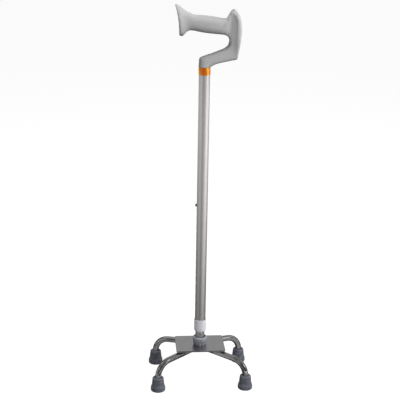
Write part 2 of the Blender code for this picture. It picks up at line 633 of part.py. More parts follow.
HOLLOW_REACH = 0.0030  # the distance from the edge band at which half of the sink is reached
HOLLOW_LEFT = 0.0370  # where the sink has run out on the grip's side
HOLLOW_FADE = 0.0130
FLANGE_BOW = 0.0030  # how far the flange's sides are set back from its top and bottom
FLANGE_START = -0.0295
FLANGE_LENGTH = 0.0245
FLANGE_EDGE = 0.0030
FLANGE_DISH = 0.0020
FLANGE_DISH_WIDTH = 0.9


def smooth_rows(rows, steps):
    """Rows of numbers with smooth ones between them: a cubic through all, at the chord's spacing."""
    rows = np.array(rows)
    gaps = np.sqrt(np.linalg.norm(np.diff(rows[:, :4], axis=0), axis=1))
    knots = np.concatenate([[0.0], np.cumsum(gaps)])
    slopes = np.gradient(rows, knots, axis=0)
    out = []
    for k, gap in enumerate(gaps):
        for u in np.arange(steps) / steps:
            start = (1 + 2 * u) * (1 - u) ** 2 * rows[k] + u * (1 - u) ** 2 * gap * slopes[k]
            end = u * u * (3 - 2 * u) * rows[k + 1] - u * u * (1 - u) * gap * slopes[k + 1]
            out.append(start + end)
    out.append(rows[-1])
    return np.array(out)


def handle_ring(row, sides):
    """The points of one section of the handle, as a ring round the XZ plane.

    Along the section t goes from 1 at the outer end to -1 at the inner one. The half depth there is
    that of a superellipse, times a width that is full in the guard's edge band and then falls in a
    hollow curve to the inner end's. Next to the band the face is sunk, and the sink runs out towards
    the grip. The points are spaced so that one lies on the band's inner edge.
    """
    ax, az, bx, bz, inner_depth, outer_depth, inner_square, outer_square, rim, hollow, bow = row
    length = math.hypot(bx - ax, bz - az)
    edge = math.acos(1 - 2 * rim / length)
    counts = [0, GUARD_RIM_SIDES, sides / 2, sides - GUARD_RIM_SIDES, sides]
    turn = np.interp(np.arange(sides), counts, [0, edge, np.pi, 2 * np.pi - edge, 2 * np.pi])
    t = np.cos(turn)
    from_band = np.clip((length * (1 + t) / 2) / (length - rim), 0, 1)
    inward = (1 - from_band) * (length - rim)
    left = np.clip(((ax + bx) / 2 + (bx - ax) / 2 * t - HOLLOW_LEFT) / HOLLOW_FADE, 0, 1)
    sunk = hollow * inward / (inward + HOLLOW_REACH) * left * left * (3 - 2 * left)
    width = inner_depth + (outer_depth - inner_depth) * from_band**GUARD_FLARE - sunk
    square = np.where(t > 0, outer_square, inner_square)
    swell = (1 - np.abs(t) ** square) ** (1 / square)
    x = (ax + bx) / 2 + (bx - ax) / 2 * t + bow * (1 - t * t)
    z = (az + bz) / 2 + (bz - az) / 2 * t
    return np.stack([x, np.sign(np.sin(turn)) * swell * width, z], axis=1)


def make_handle():
    """The grey moulded handle in one sweep: spigot, stem, arm, guard, and grip with its flared end."""
    rows = []
    for inner, outer, *rest in HANDLE_SECTIONS:
        flared = np.clip((FLANGE_START - (inner[0] + outer[0]) / 2) / FLANGE_LENGTH, 0, 1)
        rows.append((*inner, *outer, *rest, FLANGE_BOW * flared**2))
    rings = [handle_ring(row, HANDLE_SIDES) for row in smooth_rows(rows, HANDLE_STEPS)]
    end = np.array(rows[-1])
    along = (end[:2] - end[2:4]) / np.linalg.norm(end[:2] - end[2:4])
    end[:4] -= FLANGE_EDGE * np.concatenate([along, -along])
    end[4:6] -= FLANGE_EDGE
    rings.append(handle_ring(end, HANDLE_SIDES))
    rings.append(rings[-1] * (1, FLANGE_DISH_WIDTH, 1) + (FLANGE_DISH, 0, 0))
    spigot = OUTER_TUBE_BORE - SEAT
    for radius, z in ((spigot, 0.0), (spigot, CHAMFER - SPIGOT_LENGTH), (spigot - CHAMFER, -SPIGOT_LENGTH)):
        rings.insert(0, np.array(ring_points(radius, HANDLE_SIDES, z)))
    bm = bmesh.new()
    loops = [[bm.verts.new(point) for point in ring.tolist()] for ring in rings]
    for lower, upper in zip(loops, loops[1:]):
        bridge(bm, lower, upper)
    bm.faces.new(loops[0])
    middle = bm.verts.new(rings[-1].mean(axis=0).tolist())
    for k in range(HANDLE_SIDES):
        bm.faces.new((loops[-1][k], loops[-1][k - 1], middle))
    handle = add_object("handle", bm, "grip_plastic", at=(0, 0, HANDLE_BOTTOM))
    drill(handle, "spigot_hole", CROSS_HOLE_RADIUS, 3 * spigot, (0, 1, 0), (0, 0, RING_Z))


clear_scene()
make_base_corners()
make_plate()
make_socket()
make_shaft_fixing()
make_inner_tube()
make_outer_tube()
make_button()
make_button_spring()
make_clamp_bush()
make_locking_collar()
make_trim_ring()
make_handle()
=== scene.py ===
"""A quad cane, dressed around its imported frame.

Metres, +Z up, with the origin on the floor under the shaft. The grip's open end and the snap button
face -X, and the front of the cane faces -Y.
"""
import math

import bmesh
import bpy
import numpy as np
from mathutils import Matrix, Vector


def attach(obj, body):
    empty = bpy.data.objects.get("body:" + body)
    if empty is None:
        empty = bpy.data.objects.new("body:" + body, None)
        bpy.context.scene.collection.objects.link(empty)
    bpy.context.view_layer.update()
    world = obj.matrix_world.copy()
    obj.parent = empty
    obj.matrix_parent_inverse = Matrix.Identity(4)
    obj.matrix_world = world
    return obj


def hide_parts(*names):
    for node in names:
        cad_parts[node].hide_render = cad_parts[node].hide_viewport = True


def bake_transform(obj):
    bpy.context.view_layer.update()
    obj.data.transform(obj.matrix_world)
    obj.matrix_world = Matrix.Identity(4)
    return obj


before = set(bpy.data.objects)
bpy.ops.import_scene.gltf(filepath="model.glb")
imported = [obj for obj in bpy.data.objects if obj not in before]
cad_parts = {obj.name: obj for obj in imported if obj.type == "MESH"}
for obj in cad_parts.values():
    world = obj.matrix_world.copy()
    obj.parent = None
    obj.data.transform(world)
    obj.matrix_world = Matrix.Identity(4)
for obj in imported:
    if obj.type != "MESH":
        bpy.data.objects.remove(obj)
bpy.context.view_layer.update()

# The four tips are turned rubber mouldings, pushed onto the legs' ends. Each has a broad band at its
# foot, a tapered body with a rounded top, and ring grooves in its sole.
TIP_X = 0.0907
TIP_Y = 0.0639
TIP_OUTLINE = (  # radius, height and rounding of each corner
    (0.0000, 0.0000, 0.0000), (0.0067, 0.0000, 0.0003), (0.0070, 0.0012, 0.0003), (0.0080, 0.0012, 0.0003),
    (0.0083, 0.0000, 0.0003), (0.0103, 0.0000, 0.0003), (0.0105, 0.0009, 0.0002), (0.0113, 0.0009, 0.0002),
    (0.0115, 0.0000, 0.0003), (0.0150, 0.0000, 0.0021), (0.0150, 0.0080, 0.0040), (0.0129, 0.0135, 0.0070),
    (0.0113, 0.0295, 0.0027), (0.0065, 0.0295, 0.0005), (0.0064, 0.0060, 0.0004), (0.0000, 0.0060, 0.0000),
)
TIP_HEIGHT = max(height for _, height, _ in TIP_OUTLINE)
PAINTED_TOP_HIGHLIGHT = 0.0040  # how far below its top edge a rubber piece is painted paler: a painted highlight for light from above
CORNERS = {
    "front_left": (-1, -1), "front_right": (1, -1), "back_left": (-1, 1), "back_right": (1, 1),
}


def filleted(corners, steps=7, hold=0.0002):
    """An outline of corners (across, up, rounding), each turned into an arc of its rounding.

    An arc of radius r touches a corner's two sides at r / tan(half the corner's angle). Its points,
    seen from its centre, are the two touching directions weighed by the sines of the angle still to
    go and of the angle gone. A side over five times hold long gets a point near each end, so that
    flat faces stay flat under smooth shading.
    """
    corners = np.array(corners, float)
    points, radius = corners[:, :2], corners[:, 2:]
    back = np.roll(points, 1, axis=0) - points
    on = np.roll(points, -1, axis=0) - points
    back /= np.linalg.norm(back, axis=1, keepdims=True)
    on /= np.linalg.norm(on, axis=1, keepdims=True)
    half = np.arccos(np.clip((back * on).sum(axis=1, keepdims=True), -1, 1)) / 2
    inward = (back + on) / np.maximum(np.linalg.norm(back + on, axis=1, keepdims=True), 1e-9)
    centre = points + inward * radius / np.sin(half)
    first = points + back * radius / np.tan(half) - centre
    last = points + on * radius / np.tan(half) - centre
    sweep = (np.pi - 2 * half)[:, :, None]
    gone = np.linspace(0, 1, steps + 1)[None, :, None]
    arcs = np.sin((1 - gone) * sweep) * first[:, None] + np.sin(gone * sweep) * last[:, None]
    outline = (centre[:, None] + arcs / np.maximum(np.sin(sweep), 1e-9)).reshape(-1, 2)
    outline = outline[np.abs(outline - np.roll(outline, 1, axis=0)).max(axis=1) > 1e-8]
    side = np.roll(outline, -1, axis=0) - outline
    length = np.linalg.norm(side, axis=1, keepdims=True)
    share = np.concatenate([length * 0, hold / length, 1 - hold / length], axis=1)
    held = outline[:, None] + share[:, :, None] * side[:, None]
    keep = np.concatenate([length >= 0, length > 5 * hold, length > 5 * hold], axis=1)
    return held[keep]


def turned(outline, sides=96):
    """A surface of revolution: at turn u a point (r, z) of the outline lies at (r cos u, r sin u, z)."""
    turn = np.linspace(0, 2 * np.pi, sides, endpoint=False)
    spokes = np.stack([np.cos(turn), np.sin(turn), np.ones(sides)], axis=1)
    return outline[:, None, [0, 0, 1]] * spokes


def quads(rows, columns, loop):
    """The faces of a grid of points whose columns close on themselves, as its rows do if it loops."""
    ids = np.arange(rows * columns).reshape(rows, columns)
    here = ids if loop else ids[:-1]
    ahead = np.roll(ids, -1, axis=0) if loop else ids[1:]
    return np.stack([here, np.roll(here, -1, 1), np.roll(ahead, -1, 1), ahead], axis=-1).reshape(-1, 4)


def skin(name, points, faces, finish, body, slot, nodes=(), sharp=40):
    """A piece from points and faces: doubles merged, faces outwards, smooth but for sharp corners.

    It rides on the body named. Given two names and two places instead, it rides on neither and stays where
    it stands.
    """
    mesh = bpy.data.meshes.new(name)
    mesh.from_pydata(points.reshape(-1, 3).tolist(), [], faces.tolist())
    shell = bmesh.new()
    shell.from_mesh(mesh)
    bmesh.ops.remove_doubles(shell, verts=shell.verts, dist=1e-7)
    bmesh.ops.recalc_face_normals(shell, faces=shell.faces)
    shell.to_mesh(mesh)
    shell.free()
    mesh.shade_smooth()
    mesh.set_sharp_from_angle(angle=math.radians(sharp))
    mesh.materials.append(finish.material)
    piece = bpy.data.objects.new(name, mesh)
    bpy.context.scene.collection.objects.link(piece)
    if isinstance(body, str):
        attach(piece, body)
    else:
        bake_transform(piece)
    if nodes:
        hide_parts(*nodes)
    return piece


class Wire:
    """An output of a shader node. Sums, differences and products of wires add Math nodes."""

    def __init__(self, finish, socket):
        self.finish = finish
        self.socket = socket

    def maths(self, operation, first, second):
        return self.finish.node("ShaderNodeMath", {"operation": operation}, {0: first, 1: second})

    def __add__(self, other):
        return self.maths("ADD", self, other)

    def __radd__(self, other):
        return self.maths("ADD", other, self)

    def __sub__(self, other):
        return self.maths("SUBTRACT", self, other)

    def __rsub__(self, other):
        return self.maths("SUBTRACT", other, self)

    def __mul__(self, other):
        return self.maths("MULTIPLY", self, other)

    def __rmul__(self, other):
        return self.maths("MULTIPLY", other, self)

    def __abs__(self):
        return self.finish.node("ShaderNodeMath", {"operation": "ABSOLUTE"}, {0: self})


class Nodes:
    """A node tree and the ways to add to it."""

    def __init__(self, tree):
        self.nodes = tree.nodes
        self.links = tree.links

    def node(self, kind, settings=None, sockets=None, out=0):
        """Adds a node with its settings and sockets, and gives the wire of one of its outputs."""
        made = self.nodes.new(kind)
        for name, value in (settings or {}).items():
            setattr(made, name, value)
        for name, value in (sockets or {}).items():
            self.feed(made.inputs[name], value)
        return Wire(self, made.outputs[out])

    def feed(self, socket, value):
        """Links a wire to a socket, or sets the socket to a plain value."""
        if isinstance(value, Wire):
            self.links.new(value.socket, socket)
        else:
            socket.default_value = value

    def blend(self, factor, first, second):
        """The first colour where the factor is 0 and the second where it is 1."""
        sockets = {0: factor, 6: (*first, 1) if isinstance(first, tuple) else first}
        sockets[7] = (*second, 1) if isinstance(second, tuple) else second
        return self.node("ShaderNodeMix", {"data_type": "RGBA"}, sockets, out=2)


class Finish(Nodes):
    """A material: a Principled shader, and the nodes that vary its colour, roughness and relief."""

    def __init__(self, name, **constants):
        self.material = bpy.data.materials.new(name)
        self.material.use_nodes = True
        super().__init__(self.material.node_tree)
        self.shader = self.nodes["Principled BSDF"]
        self.give(**constants)

    def give(self, **values):
        """Sets or feeds the shader's sockets, each named with _ for its spaces."""
        for name, value in values.items():
            self.feed(self.shader.inputs[name.replace("_", " ")], value)

    def place(self, scale=(1, 1, 1)):
        """Object coordinates, in metres times the scale."""
        coordinates = self.node("ShaderNodeTexCoord", out="Object")
        return self.node("ShaderNodeMapping", {}, {"Vector": coordinates, "Scale": scale})

    def level(self, axis):
        """How far along X, Y or Z a point lies, in metres."""
        return self.node("ShaderNodeSeparateXYZ", {}, {"Vector": self.place()}, out=axis)

    def noise(self, size, detail=2.0, stretch=(1, 1, 1)):
        """Cloudy values from 0 to 1, with features about as large as size."""
        scale = tuple(1 / (size * s) for s in stretch)
        sockets = {"Vector": self.place(scale), "Scale": 1.0, "Detail": detail, "Roughness": 0.5}
        return self.node("ShaderNodeTexNoise", {}, sockets)

    def between(self, value, low, high):
        """0 below low and 1 above high, and smooth between them."""
        sockets = {"Value": value, "From Min": low, "From Max": high}
        return self.node("ShaderNodeMapRange", {"interpolation_type": "SMOOTHSTEP"}, sockets)

    def relief(self, height, depth, strength=1.0):
        """Bumps of a height from 0 to 1 times the depth, in metres."""
        sockets = {"Height": height, "Distance": depth, "Strength": strength}
        self.give(Normal=self.node("ShaderNodeBump", {}, sockets))


def rubber_finish(name, dark, light, top):
    """Moulded rubber: a cloudy bloom, a paler scuffed rim at the floor, a painted highlight along its top,
    and a fine grain.
    """
    finish = Finish(name, Specular_IOR_Level=0.35)
    cloud = finish.noise(0.006, 3)
    grain = finish.noise(0.00025, 2)
    scuff = (1 - finish.between(finish.level("Z"), 0.0004, 0.0030)) * finish.between(cloud, 0.35, 0.6)
    colour = finish.blend(finish.between(cloud, 0.3, 0.7), dark, light)
    # Painted highlight: the top few millimetres are blended halfway to the pale colour, as light from above
    # shows them.
    colour = finish.blend(finish.between(finish.level("Z"), top - PAINTED_TOP_HIGHLIGHT, top) * 0.5, colour, light)
    finish.give(Base_Color=finish.blend(scuff * 0.5, colour, (0.20, 0.20, 0.20)))
    finish.give(Roughness=0.50 + cloud * 0.16 + grain * 0.06)
    finish.relief(grain, 0.00004)
    return finish


tip_rubber = rubber_finish("tip_rubber", (0.077, 0.081, 0.099), (0.117, 0.123, 0.148), TIP_HEIGHT)
outline = filleted(TIP_OUTLINE)
for corner, (side, way) in CORNERS.items():
    points = turned(outline) + (side * TIP_X, way * TIP_Y, 0)
    faces = quads(*points.shape[:2], loop=False)
    skin(f"rubber_tip_{corner}", points, faces, tip_rubber, "base", "dark_rubber", [f"tip_{corner}"])

# In each tip lies a zinc-plated steel washer, which keeps the tube's edge from cutting through the
# rubber. The washers are the frame's own, and so are the other fixings that never show.
zinc = Finish("zinc_plate", Metallic=1.0)
spangle = zinc.noise(0.0012, 3)
zinc.give(Base_Color=zinc.blend(spangle, (0.44, 0.44, 0.43), (0.60, 0.60, 0.58)))
zinc.give(Roughness=0.28 + spangle * 0.22)
zinc.relief(zinc.noise(0.0003), 0.00001)


def dress(node, finish):
    """Gives a node of the frame its finish."""
    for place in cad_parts[node].material_slots:
        place.material = finish.material


for corner in CORNERS:
    dress(f"tip_washer_{corner}", zinc)

# The legs are chromed steel tube. Each runs out and slightly down from under the plate, and is bent
# to upright over its tip.
LEG_RADIUS = 0.00635
LEG_WALL = 0.0012
LEG_BEND_RADIUS = 0.031
LEG_DROOP = math.radians(4.0)
LEG_STARTS = {-1: (0.0186, -0.0086), 1: (0.0180, 0.0310)}  # by front or back, for the right-hand leg
LEG_TOP = 0.0700
LEG_END = 0.0081
LEG_SPACING = 0.0014


def leg_route(start, end):
    """A leg's centre line, with points evenly spaced along it, and the direction it sets out in.

    Its heading below the level is the droop until the bend, and then grows by the length gone over
    the bend's radius, up to a right angle. The line is the running sum of its headings.
    """
    start, end = np.array([*start, 0.0]), np.array([*end, 0.0])
    run = np.linalg.norm(end - start)
    outward = (end - start) / run
    straight = (run - LEG_BEND_RADIUS * (1 - math.sin(LEG_DROOP))) / math.cos(LEG_DROOP)
    bend = LEG_BEND_RADIUS * (math.pi / 2 - LEG_DROOP)
    top = LEG_TOP - LEG_RADIUS / math.cos(LEG_DROOP)
    down = top - straight * math.sin(LEG_DROOP) - LEG_BEND_RADIUS * math.cos(LEG_DROOP) - LEG_END
    count = round((straight + bend + down) / LEG_SPACING)
    gone = np.linspace(0, straight + bend + down, count + 1)
    middle = (gone[1:] + gone[:-1]) / 2
    heading = LEG_DROOP + np.clip((middle - straight) / LEG_BEND_RADIUS, 0, math.pi / 2 - LEG_DROOP)
    ahead = np.cos(heading)[:, None] * outward - np.sin(heading)[:, None] * (0, 0, 1)
    step = np.diff(gone)[:, None] * ahead
    return start + (0, 0, top) + np.concatenate([np.zeros((1, 3)), np.cumsum(step, axis=0)]), outward


def pipe(route, normal, radius, sides=40):
    """A round bar along a route that lies in a plane with the given normal.

    At turn u a point lies at route + r (cos u normal + sin u up), and up is square to the normal and
    to the route's own direction.
    """
    ahead = np.gradient(route, axis=0)
    ahead /= np.linalg.norm(ahead, axis=1, keepdims=True)
    up = np.cross(normal, ahead)[:, None]
    turn = np.linspace(0, 2 * np.pi, sides, endpoint=False)[None, :, None]
    radius = np.broadcast_to(radius, len(route))[:, None, None]
    return route[:, None] + radius * (np.cos(turn) * np.array(normal) + np.sin(turn) * up)


chrome = Finish("bright_chrome", Metallic=1.0)
ripple = chrome.noise(0.009, 2)
smear = chrome.noise(0.004, 3)
chrome.give(Base_Color=chrome.blend(ripple, (0.51, 0.49, 0.50), (0.60, 0.58, 0.59)))
chrome.give(Roughness=0.05 + chrome.between(smear, 0.45, 0.75) * 0.09)
chrome.relief(ripple, 0.00020, 0.5)

legs = {}
for corner, (side, way) in CORNERS.items():
    x, y = LEG_STARTS[way]
    route, outward = leg_route((side * x, y), (side * TIP_X, way * TIP_Y))
    normal = np.cross((0, 0, 1), outward)
    outside = pipe(route, normal, LEG_RADIUS)
    inside = pipe(route, normal, LEG_RADIUS - LEG_WALL)[::-1]
    points = np.concatenate([outside, inside])
    faces = quads(*points.shape[:2], loop=True)
    skin(f"tube_leg_{corner}", points, faces, chrome, "base", "chrome", [f"leg_{corner}"])
    legs[corner] = route, outward, normal

# A weld bead joins each leg to the plate: along one side of the tube, round its end and back along
# the other side. It is laid in small overlapping pools, and plated with the rest.
BEAD_RADIUS = 0.0014
BEAD_POOL = 0.0013
BEAD_LENGTH = 0.013
BEAD_SPREAD = 0.0042
BEAD_DROP = 0.0011
BEAD_SWELL = 0.10
BEAD_STEPS = 180

weld = Finish("plated_weld", Metallic=1.0)
pool = weld.noise(0.0011, 3)
weld.give(Base_Color=weld.blend(pool, (0.36, 0.35, 0.34), (0.52, 0.51, 0.50)))
weld.give(Roughness=0.26 + pool * 0.2)
weld.relief(pool, 0.00012, 0.6)

for corner, (route, outward, normal) in legs.items():
    total = 2 * BEAD_LENGTH + math.pi * BEAD_SPREAD
    gone = np.linspace(-total / 2, total / 2, BEAD_STEPS)
    turn = np.clip(gone / BEAD_SPREAD, -math.pi / 2, math.pi / 2)
    rest = gone - turn * BEAD_SPREAD
    along = np.abs(rest) - BEAD_SPREAD * np.cos(turn)
    across = BEAD_SPREAD * np.sin(turn)
    bead = route[0] * (1, 1, 0) + along[:, None] * outward + across[:, None] * normal
    bead += (0, 0, LEG_TOP - BEAD_DROP)
    taper = np.sqrt(np.clip((total / 2 - np.abs(gone)) / BEAD_RADIUS, 0, 1))
    radius = BEAD_RADIUS * taper * (1 + BEAD_SWELL * np.cos(2 * np.pi * gone / BEAD_POOL))
    points = pipe(bead, (0, 0, 1), radius, 14)
    skin(f"weld_bead_{corner}", points, quads(*points.shape[:2], loop=False), weld, "base", "chrome")

# The base plate is stamped from 3 mm steel, with rounded corners and one hole for the shaft's bolt.
# It is polished less than the legs before it is plated, so it has a satin sheen.
PLATE_WIDTH = 0.1024
PLATE_DEPTH = 0.0762
PLATE_SETBACK = 0.0014
PLATE_CORNER = 0.0040
PLATE_TOP = 0.0733
PLATE_THICKNESS = 0.0030
PLATE_EDGE = 0.0006
BOLT_HOLE_RADIUS = 0.0043


def rounded_rectangle(width, depth, corner, steps=12):
    """Points round a rectangle, as many on each side as on each corner's quarter circle."""
    turn = np.pi / 2 * (np.arange(4)[:, None] + np.linspace(0, 1, steps + 1))
    signs = np.array([(1, 1), (-1, 1), (-1, -1), (1, -1)])
    centres = signs * (width / 2 - corner, depth / 2 - corner)
    arcs = centres[:, None] + corner * np.stack([np.cos(turn), np.sin(turn)], axis=-1)
    share = np.arange(1, steps)[:, None] / steps
    sides = (1 - share) * arcs[:, -1:] + share * np.roll(arcs[:, :1], -1, axis=0)
    return np.concatenate([arcs, sides], axis=1).reshape(-1, 2)


satin = Finish("satin_chrome", Metallic=1.0)
brush = satin.noise(0.0002, 3, stretch=(90, 1, 1))
haze = satin.noise(0.018, 3)
satin.give(Base_Color=satin.blend(haze, (0.50, 0.49, 0.50), (0.58, 0.57, 0.58)))
satin.give(Roughness=0.17 + haze * 0.08 + brush * 0.08)
satin.relief(brush, 0.000012)

edge = filleted([(0, 0, PLATE_EDGE), (0, PLATE_THICKNESS, PLATE_EDGE), (1, PLATE_THICKNESS, 0), (1, 0, 0)])
edge = np.roll(edge[edge[:, 0] < 0.5], 1, axis=0)
rings = []
for inset, level in edge:
    ring = rounded_rectangle(PLATE_WIDTH - 2 * inset, PLATE_DEPTH - 2 * inset, PLATE_CORNER - inset)
    rings.append(np.insert(ring + (0, PLATE_SETBACK), 2, level, axis=1))
wall = filleted([(1, PLATE_THICKNESS, 0), (BOLT_HOLE_RADIUS, PLATE_THICKNESS, 0.0003),
                 (BOLT_HOLE_RADIUS, 0, 0.0003), (1, 0, 0)])
wall = turned(wall[wall[:, 0] < 0.5], len(rings[0]))
lag = np.pi / 8  # brings the circle's points opposite the rounded corners' points
spin = np.array([[np.cos(lag), np.sin(lag), 0], [-np.sin(lag), np.cos(lag), 0], [0, 0, 1]])
points = np.concatenate([np.array(rings), wall @ spin]) + (0, 0, PLATE_TOP - PLATE_THICKNESS)
faces = quads(*points.shape[:2], loop=True)
skin("steel_plate", points, faces, satin, "base", "plate_chrome", ["base_plate"])

# A hex bolt comes up through the plate into the threaded insert in the tube's foot. A flat washer
# and a split spring washer lie under its head, and all of it is zinc plated.
HEAD_TOP = 0.0658
HEAD_HEIGHT = 0.0053
HEAD_FLAT = 0.0065
HEAD_CHAMFER = 0.0009
BOLT_RADIUS = 0.0040
BOLT_END = 0.0939
BOLT_SIDES = 144

for node in ("base_washer", "spring_washer", "tube_insert"):
    dress(node, zinc)
corner_radius = HEAD_FLAT / math.cos(math.pi / 6)
bolt = filleted([
    (0, HEAD_TOP - HEAD_HEIGHT, 0), (HEAD_FLAT, HEAD_TOP - HEAD_HEIGHT, 0.0002),
    (corner_radius, HEAD_TOP - HEAD_HEIGHT + HEAD_CHAMFER, 0), (corner_radius, HEAD_TOP, 0.0002),
    (BOLT_RADIUS, HEAD_TOP, 0.0004), (BOLT_RADIUS, BOLT_END, 0.0008), (0, BOLT_END, 0),
])
points = turned(bolt, BOLT_SIDES)
turn = np.linspace(0, 2 * np.pi, BOLT_SIDES, endpoint=False)
flat = HEAD_FLAT / np.cos((turn + np.pi / 6) % (np.pi / 3) - np.pi / 6)  # a hexagon's reach at each turn
share = np.minimum(1, flat / np.maximum(bolt[:, :1], 1e-9))
points[:, :, :2] *= share[:, :, None]
faces = quads(*points.shape[:2], loop=False)
skin("hex_bolt", points, faces, zinc, "base", "zinc_steel", ["base_bolt"], sharp=25)

# The shaft stands in a moulded rubber socket on the plate. Its top is well rounded and has a recess
# round the tube, and ten round flutes are moulded into its foot.
SOCKET_BOTTOM = 0.0736
SOCKET_HEIGHT = 0.0178
SOCKET_RADIUS = 0.0151
SOCKET_FOOT = 0.0131
SOCKET_BORE = 0.0098
SOCKET_RECESS_RADIUS = 0.0110
SOCKET_RECESS_FLOOR = 0.0148
SOCKET_FLOOR = 0.0040
SOCKET_SIDES = 240
FLUTES = 10
FLUTE_RADIUS = 0.0016
FLUTE_TOP = 0.0095
FLUTE_DEPTH = 0.0013
FLUTE_TURN = 0.86  # of the flutes' spacing, from +X

socket_top = SOCKET_BOTTOM + SOCKET_HEIGHT
socket_rubber = rubber_finish("socket_rubber", (0.185, 0.190, 0.212), (0.262, 0.270, 0.296), socket_top)
levels = np.linspace(0, FLUTE_TOP, 24)
flare = np.interp(levels, (0, FLUTE_TOP), (SOCKET_FOOT, SOCKET_RADIUS))
outline = filleted([
    *np.stack([flare, levels, levels * 0], axis=1), (SOCKET_RADIUS, SOCKET_HEIGHT, 0.0037),
    (SOCKET_RECESS_RADIUS, SOCKET_HEIGHT, 0.0003), (SOCKET_RECESS_RADIUS, SOCKET_RECESS_FLOOR, 0.0003),
    (SOCKET_BORE, SOCKET_RECESS_FLOOR, 0.0003), (SOCKET_BORE, SOCKET_FLOOR, 0),
    (BOLT_HOLE_RADIUS, SOCKET_FLOOR, 0), (BOLT_HOLE_RADIUS, 0, 0),
])
points = turned(outline, SOCKET_SIDES)
turn = np.arctan2(points[:, :, 1], points[:, :, 0])
reach = np.hypot(points[:, :, 0], points[:, :, 1])
# A flute is a round groove: its floor lies at its axis's distance, less the half chord of its circle
# at the sideways distance from its axis. It runs out towards its top.
sideways = reach * np.abs((turn * FLUTES / (2 * np.pi) - FLUTE_TURN + 0.5) % 1 - 0.5) * 2 * np.pi / FLUTES
run_out = np.clip((FLUTE_TOP - points[:, :, 2]) / (2 * FLUTE_RADIUS), 0, 1) ** 0.5
chord = np.sqrt(np.clip(FLUTE_RADIUS**2 - sideways**2, 0, None))
groove = np.clip(chord - (FLUTE_RADIUS - FLUTE_DEPTH), 0, None) * run_out * (reach > 0.012)
points[:, :, :2] *= (1 - groove / reach)[:, :, None]
points += (0, 0, SOCKET_BOTTOM)
faces = quads(*points.shape[:2], loop=True)
skin("rubber_socket", points, faces, socket_rubber, "base", "socket_rubber", ["shaft_socket"], sharp=50)

# The shaft is two drawn aluminium tubes, 19 mm inside 22.2 mm, anodised to a satin finish. The outer
# one has a row of thirteen holes, and a snap button in the inner one's single hole finds one of them.
INNER_RADIUS = 0.009525
INNER_WALL = 0.0012
INNER_BOTTOM = 0.0779
INNER_TOP = 0.4600
OUTER_BORE = 0.009825
OUTER_RADIUS = 0.011125
OUTER_BOTTOM = 0.1120
OUTER_TOP = 0.6632
BUTTON_Z = 0.3810
HOLE_RADIUS = 0.0033
HOLE_PITCH = 0.0190
HOLES = 13
TUBE_SIDES = 96
HOLE_COLUMNS = 16
HOLE_ROWS = 8
BURR = 0.0002


def hole_border(columns, rows):
    """Points evenly spaced round the border of the square from -1 to 1: how far across and up each
    lies, and at which turn of a circle in the square it has its partner."""
    spans = np.cumsum([0, columns, rows, columns, rows])
    index = np.arange(spans[-1])
    across = np.interp(index, spans, (-1, 1, 1, -1, -1))
    up = np.interp(index, spans, (-1, -1, 1, 1, -1))
    return across, up, np.interp(index, spans, np.radians((-135, -45, 45, 135, 225)))


def holed_tube(outer, bore, bottom, top, holes):
    """A tube with a row of holes along its -X side, as points and faces.

    Its section, a thin rectangle with rounded corners, is turned about Z. Round each hole a patch of
    its wall is left out and made again of rings that go, by equal shares in turn and height, from the
    patch's four sides to the hole's circle. The circle is drilled along X: a point s to the side of
    the hole's axis lies at the turn asin(s / radius). The rings run on through to the bore.
    """
    levels = np.arange(len(holes) * HOLE_ROWS + 1) / HOLE_ROWS * HOLE_PITCH + min(holes) - HOLE_PITCH / 2
    rise = np.stack([levels * 0, levels, levels * 0], axis=1)
    section = filleted([
        (outer, bottom, 0.0003), *(rise + (outer, 0, 0)), (outer, top, 0.0003),
        (bore, top, 0.0003), *(rise[::-1] + (bore, 0, 0)), (bore, bottom, 0.0003),
    ], hold=0.0005)
    points = turned(section, TUBE_SIDES)
    faces = quads(*points.shape[:2], loop=True)
    points = points.reshape(-1, 3)
    centre = points[faces].mean(axis=1)
    width = HOLE_COLUMNS * np.pi / TUBE_SIDES
    off_axis = np.abs(np.arctan2(centre[:, 1], -centre[:, 0]))
    in_rows = (centre[:, 2] > levels[0]) & (centre[:, 2] < levels[-1])
    faces = faces[(off_axis > width) | ~in_rows]
    across, up, round_turn = hole_border(HOLE_COLUMNS, HOLE_ROWS)
    side_turn, side_rise = across * width, up * HOLE_PITCH / 2
    shares = np.array([1.0, 0.62, 0.36, 0.16, 0.0])
    share = np.concatenate([shares, [0, 0], shares[::-1]])[:, None]
    radius = np.repeat([outer, outer - BURR, bore + BURR, bore], [5, 1, 1, 5])[:, None]
    circle = HOLE_RADIUS + BURR * np.repeat([1, 0, 0, 1], [5, 1, 1, 5])[:, None]
    turn = share * side_turn + (1 - share) * np.arcsin(circle * np.cos(round_turn) / radius)
    rise = share * side_rise + (1 - share) * circle * np.sin(round_turn)
    patch = np.stack([-radius * np.cos(turn), -radius * np.sin(turn), rise], axis=-1)
    patches = patch + np.array(holes)[:, None, None, None] * (0, 0, 1)
    patch_faces = quads(*patch.shape[:2], loop=False)
    starts = len(points) + np.arange(len(holes))[:, None, None] * patch[:, :, 0].size
    faces = np.concatenate([faces, (patch_faces + starts).reshape(-1, 4)])
    return np.concatenate([points, patches.reshape(-1, 3)]), faces


aluminium = Finish("satin_aluminium", Metallic=1.0)
drawn = aluminium.noise(0.00035, 3, stretch=(1, 1, 160))
bloom = aluminium.noise(0.030, 2)
aluminium.give(Base_Color=aluminium.blend(bloom, (0.63, 0.61, 0.60), (0.70, 0.68, 0.67)))
aluminium.give(Roughness=0.27 + drawn * 0.10 + bloom * 0.05)
aluminium.relief(drawn, 0.000012)

tube = holed_tube(INNER_RADIUS, INNER_RADIUS - INNER_WALL, INNER_BOTTOM, INNER_TOP, [BUTTON_Z])
skin("lower_tube", *tube, aluminium, "base", "satin_aluminium", ["inner_tube"])
holes = [BUTTON_Z - k * HOLE_PITCH for k in range(HOLES)]
tube = holed_tube(OUTER_RADIUS, OUTER_BORE, OUTER_BOTTOM, OUTER_TOP, holes)
skin("upper_tube", *tube, aluminium, "upper", "satin_aluminium", ["outer_tube"])

